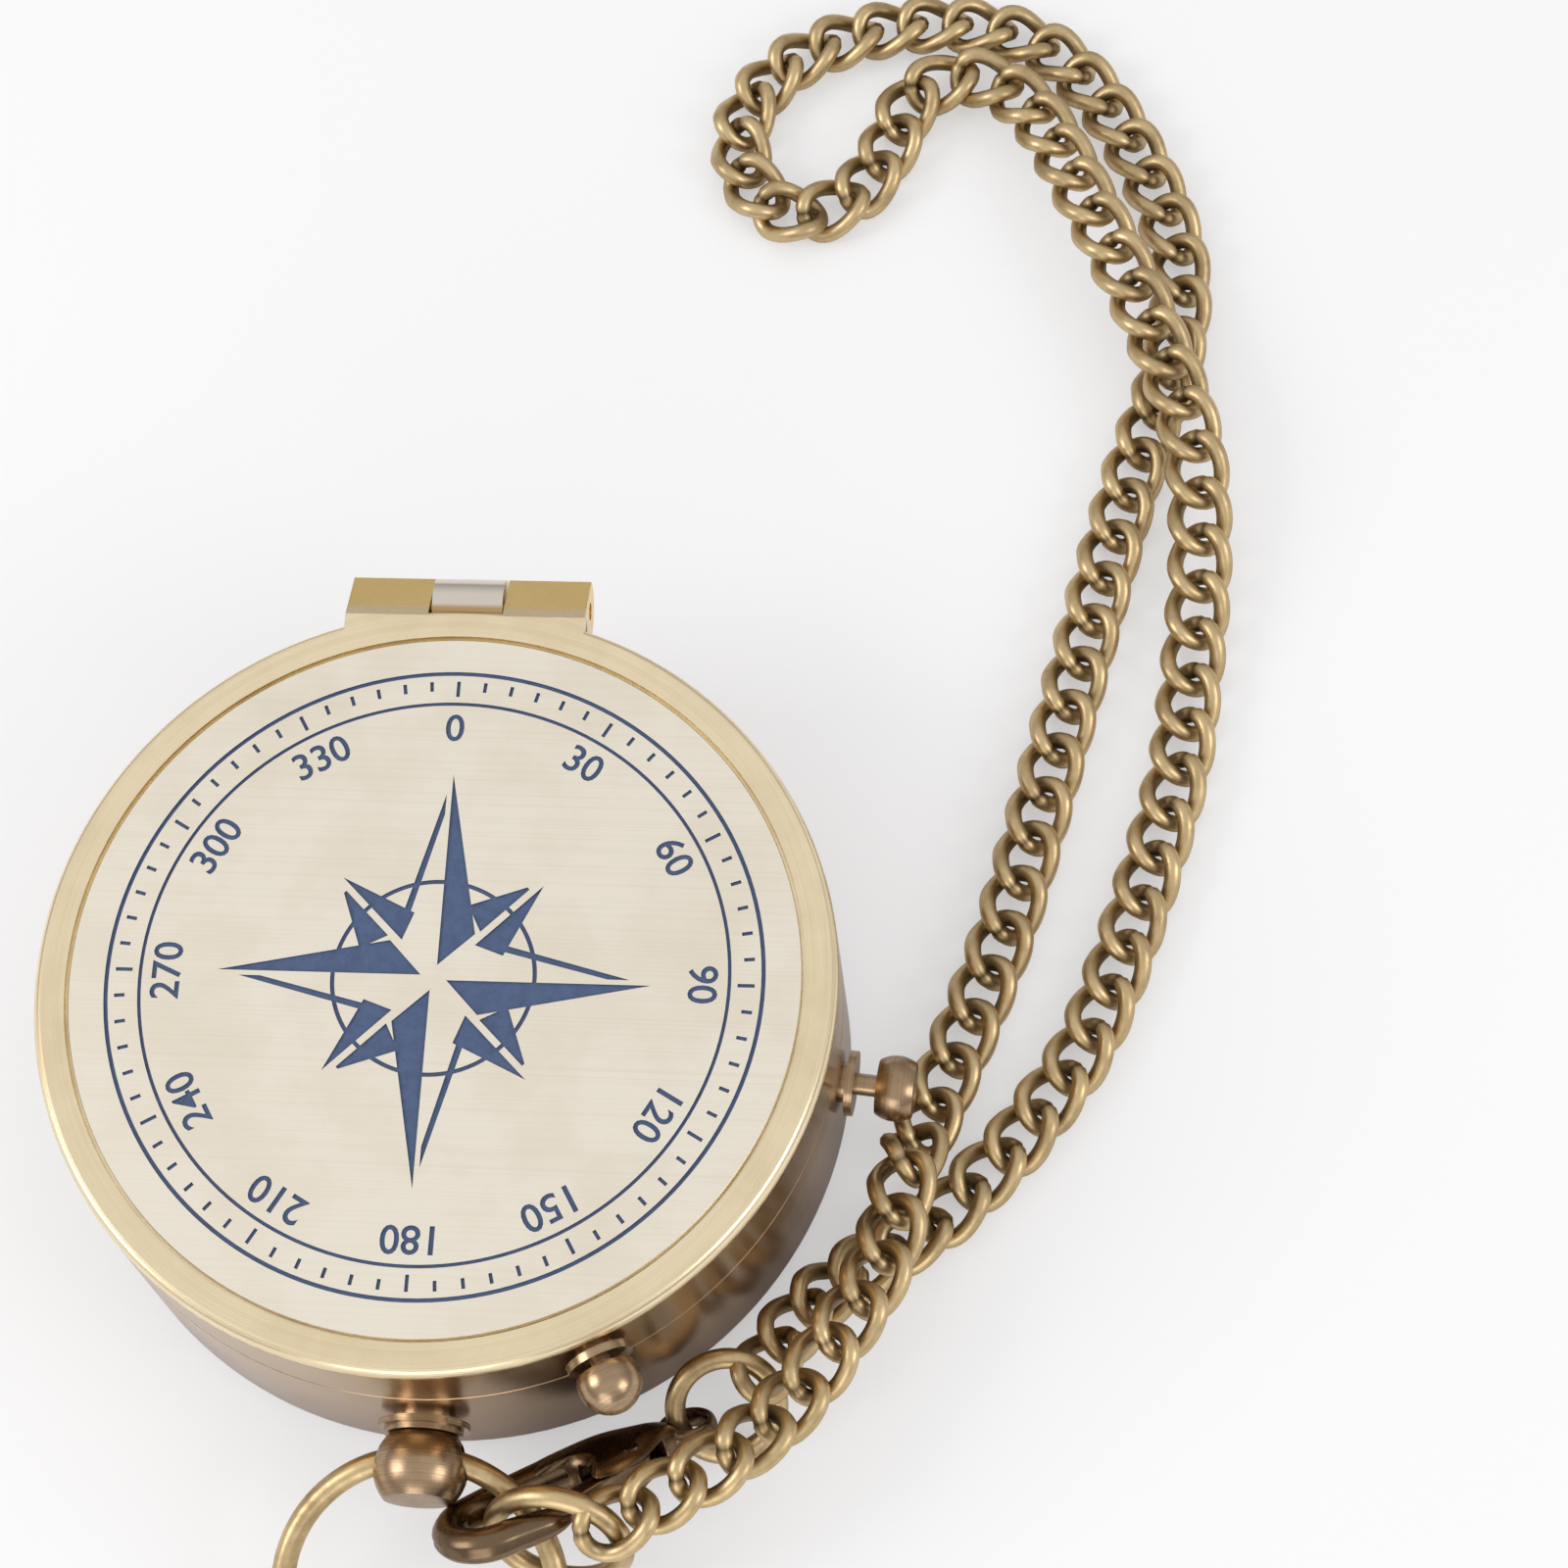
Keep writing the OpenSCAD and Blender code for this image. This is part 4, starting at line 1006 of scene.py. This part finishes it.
def hook_mesh(sides=28):
    """The clasp's bar, bend and pointed arm as one cast form with a parting line."""
    deeper, tip_x, tip_y = 1.06, -0.12, 0.03
    line = hook_line()
    last = len(line) - 1
    points, faces = [], []
    for i, (x, y, r) in enumerate(line):
        a, b = line[max(i - 1, 0)], line[min(i + 1, last)]
        along = Vector((b[0] - a[0], b[1] - a[1], 0)).normalized()
        out, up = Vector((along.y, -along.x, 0)), Vector((0, 0, 1))
        for k in range(sides):
            turn = 2 * math.pi * k / sides
            ring = math.cos(turn) * out + deeper * math.sin(turn) * up
            points.append(Vector((x, y, 0)) + r * parting_ridge(turn) * ring)
    for i in range(last):
        faces += row_faces(i * sides, (i + 1) * sides, sides)
    faces.append(tuple(reversed(range(sides))))
    tip = len(points)
    points.append(Vector((line[-1][0] + tip_x, line[-1][1] + tip_y, 0)))
    faces += [(last * sides + k, last * sides + (k + 1) % sides, tip) for k in range(sides)]
    mesh = mesh_from("hook", points, faces)
    face_outwards(mesh)
    return mesh


def melted(obj, voxel, smooth_steps):
    """Melts a piece's overlapping forms into one skin and smooths it."""
    melt = obj.modifiers.new("melt", "REMESH")
    melt.mode = "VOXEL"
    melt.voxel_size = voxel
    melt.use_smooth_shade = True
    soft = obj.modifiers.new("soft", "SMOOTH")
    soft.factor = 0.5
    soft.iterations = smooth_steps
    settled(obj)


def clasp_piece(dark):
    """The clasp's cast body: a leaf with its eye, slotted for the gate, and the hook."""
    body = pillow(smooth_outline(BODY_OUTLINE, 8), BODY_HALF)
    ring = tube_loop("eye", [(x, y, 0) for x, y in circle(EYE_RADIUS, 60)], EYE_WIRE, 12)
    ring.transform(Matrix.Diagonal((1, 1, 2.0, 1)))
    cast = joined("cast_clasp", [body, ring], dark)
    cast.data.transform(Matrix.Scale(MM, 4))
    melted(cast, 0.11 * MM, 8)
    work = bmesh.new()
    prism(work, [(x * MM, y * MM) for x, y in SLOT_OUTLINE], -SLOT_HALF * MM, SLOT_HALF * MM)
    prism(work, circle(EYE_HOLE * MM, 36), -3 * MM, 3 * MM)
    cut_out(cast, new_piece("slot", mesh_of(work, "slot"), dark))
    hook = hook_mesh()
    hook.transform(Matrix.Scale(MM, 4))
    whole = joined("clasp_cast", [cast.data, hook], dark)
    bpy.data.objects.remove(cast)
    whole.data.transform(clasp_frame())
    set_faces(whole.data, "use_smooth", True)
    return whole


def gate_piece(dark):
    """The clasp's gate: a bar with a round end at its rivet and eased edges."""
    run = Vector(GATE_RUN)
    reach = run.length
    turns = [math.radians(100 + 20 * k) for k in range(9)]
    outline = [(GATE_END * math.cos(turn), GATE_END * math.sin(turn)) for turn in turns]
    nose = [(1.6, GATE_HALF_WIDTH), (reach - 0.35, GATE_HALF_WIDTH), (reach - 0.08, 0.6),
            (reach, 0.3)]
    outline += [(x, -y) for x, y in nose] + nose[::-1]
    work = bmesh.new()
    prism(work, outline, -GATE_HALF, GATE_HALF)
    bmesh.ops.recalc_face_normals(work, faces=work.faces)
    lever = new_piece("clasp_lever", mesh_of(work, "clasp_lever"), dark)
    lever.data.transform(Matrix.Scale(MM, 4) @ Matrix.Translation(GATE_PIVOT)
                         @ Matrix.Rotation(math.atan2(run.y, run.x), 4, "Z"))
    edge = lever.modifiers.new("edge", "BEVEL")
    edge.width = 0.2 * MM
    edge.segments = 3
    edge.limit_method = "ANGLE"
    edge.angle_limit = math.radians(40)
    settled(lever)
    lever.data.transform(clasp_frame())
    set_faces(lever.data, "use_smooth", True)
    return lever


class COMPASS_OT_clasp(bpy.types.Operator):
    """Cast the clasp's body with its bend and eye, and its gate"""

    bl_idname = "compass.clasp"
    bl_label = "Clasp"

    def execute(self, context):
        dark = finish("clasp")
        whole = clasp_piece(dark)
        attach(whole, "case")
        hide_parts("clasp_body")
        lever = gate_piece(dark)
        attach(lever, "gate")
        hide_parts("clasp_gate")
        return {"FINISHED"}


# Finishes of the CAD pieces


class COMPASS_OT_finishes(bpy.types.Operator):
    """Give each metal, glass and rubber piece its finish"""

    bl_idname = "compass.finishes"
    bl_label = "Finishes"

    def execute(self, context):
        for name, finish_name in NODE_FINISH.items():
            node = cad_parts[name]
            if not node.material_slots:
                node.data.materials.append(finish(finish_name))
            for slot in node.material_slots:
                slot.material = finish(finish_name)
        return {"FINISHED"}


# Stage

CAMERA_PLACE = (0.04493, -0.08881, 0.28012)
CAMERA_AHEAD = (-0.07516, 0.37275, -0.92488)
CAMERA_UP = (-0.02295, 0.92661, 0.37531)
FLOOR_HALF = 4.0
FLOOR_GLOW = 0.45  # how much of the floor's colour is plain white to the camera
SKY_LOW, SKY_HIGH, SKY_STRENGTH = (0.34, 0.31, 0.32), (0.95, 0.95, 0.97), 0.86
SKY_EDGES = (-0.1, 0.75)  # how high the sky's two colours meet, 1 being overhead
# Each lamp's name, place, target, width and power
LAMPS = (
    ("key", (-0.55, -0.10, 0.45), (0.01, 0.0, 0.01), 0.35, 1.6),
    ("fill", (0.55, -0.20, 0.35), (0.02, 0.02, 0.01), 0.30, 0.9),
    ("front", (-0.06, -0.55, 0.16), (0.0, -0.01, 0.01), 0.34, 0.6),
)


def set_camera(scene):
    """Sets the camera at the picture's viewing angle."""
    camera = bpy.data.cameras.new("camera")
    camera.lens = 90
    camera.sensor_width = 36
    camera.clip_start, camera.clip_end = 0.01, 10
    holder = bpy.data.objects.new("camera", camera)
    scene.collection.objects.link(holder)
    ahead = Vector(CAMERA_AHEAD)
    right = ahead.cross(Vector(CAMERA_UP)).normalized()
    up = right.cross(ahead).normalized()
    turn = Matrix((right, up, -ahead.normalized())).transposed().to_4x4()
    holder.matrix_world = Matrix.Translation(CAMERA_PLACE) @ turn
    scene.camera = holder


def pale_floor():
    """The floor's material: it takes shadows, and looks nearly white to the camera."""
    material = bpy.data.materials.new("pale floor")
    material.use_nodes = True
    material.node_tree.nodes.clear()
    t = Tree(material.node_tree)
    white = t.fill(t.add("ShaderNodeBsdfDiffuse"), Color=(0.9, 0.9, 0.9, 1))
    lit = t.fill(t.add("ShaderNodeEmission"), Color=(1, 1, 1, 1))
    seen = t.add("ShaderNodeLightPath")
    share = t.sum("MULTIPLY", seen.outputs["Is Camera Ray"], FLOOR_GLOW)
    mix = t.fill(t.add("ShaderNodeMixShader"), n0=share, n1=white.outputs[0], n2=lit.outputs[0])
    t.fill(t.add("ShaderNodeOutputMaterial"), n0=mix.outputs[0])
    return material


def studio_world():
    """A soft sky, paler overhead, that is white to the camera."""
    world = bpy.data.worlds.new("studio")
    world.use_nodes = True
    world.node_tree.nodes.clear()
    t = Tree(world.node_tree)
    direction = t.add("ShaderNodeTexCoord").outputs["Generated"]
    height = spread(t, t.parts(direction)[2], *SKY_EDGES, 0.0, 1.0)
    sky = blend_colour(t, height, SKY_LOW, SKY_HIGH)
    paths = t.add("ShaderNodeLightPath")
    seen = blend_colour(t, paths.outputs["Is Camera Ray"], sky, (1, 1, 1))
    light = t.fill(t.add("ShaderNodeBackground"), Color=seen, Strength=SKY_STRENGTH)
    t.fill(t.add("ShaderNodeOutputWorld"), n0=light.outputs[0])
    return world


class COMPASS_OT_stage(bpy.types.Operator):
    """Set the camera, a pale floor and soft studio light"""

    bl_idname = "compass.stage"
    bl_label = "Stage"

    def execute(self, context):
        scene = context.scene
        scene.view_settings.view_transform = "Standard"
        set_camera(scene)
        side = FLOOR_HALF
        corners = [(-side, -side, 0), (side, -side, 0), (side, side, 0), (-side, side, 0)]
        floor = new_piece("floor", mesh_from("floor", corners, [(0, 1, 2, 3)], False), pale_floor())
        scene.world = studio_world()
        for name, place, target, width, power in LAMPS:
            lamp = bpy.data.lights.new(name, "AREA")
            lamp.shape = "SQUARE"
            lamp.size = width
            lamp.energy = power
            holder = bpy.data.objects.new(name, lamp)
            scene.collection.objects.link(holder)
            holder.location = place
            holder.rotation_mode = "QUATERNION"
            holder.rotation_quaternion = (Vector(target) - Vector(place)).to_track_quat("-Z", "Y")
        return {"FINISHED"}


class COMPASS_PT_panel(bpy.types.Panel):
    """Lists the pieces in the order they are built"""

    bl_idname = "COMPASS_PT_panel"
    bl_label = "Pocket compass"
    bl_space_type = "VIEW_3D"
    bl_region_type = "UI"
    bl_category = "Compass"

    def draw(self, context):
        for name in STEPS:
            self.layout.operator("compass." + name)
        for group in (context.scene.compass_sizes, context.scene.compass_colours):
            for key in group.bl_rna.properties.keys():
                if key not in {"rna_type", "name"}:
                    self.layout.prop(group, key)


STEPS = ("stage", "chain", "finishes", "lid", "dial", "clasp")
CLASSES = (CompassSizes, CompassColours, COMPASS_OT_stage, COMPASS_OT_chain, COMPASS_OT_finishes,
           COMPASS_OT_lid, COMPASS_OT_dial, COMPASS_OT_clasp, COMPASS_PT_panel)


def register():
    """Registers the classes and hangs the values on the scene."""
    for kind in CLASSES:
        bpy.utils.register_class(kind)
    bpy.types.Scene.compass_sizes = PointerProperty(type=CompassSizes)
    bpy.types.Scene.compass_colours = PointerProperty(type=CompassColours)


def unregister():
    """Takes them away again."""
    del bpy.types.Scene.compass_colours
    del bpy.types.Scene.compass_sizes
    for kind in reversed(CLASSES):
        bpy.utils.unregister_class(kind)


def main():
    """Builds every piece in order."""
    register()
    for name in STEPS:
        getattr(bpy.ops.compass, name)()
    bpy.context.view_layer.update()


if __name__ == "__main__":
    main()
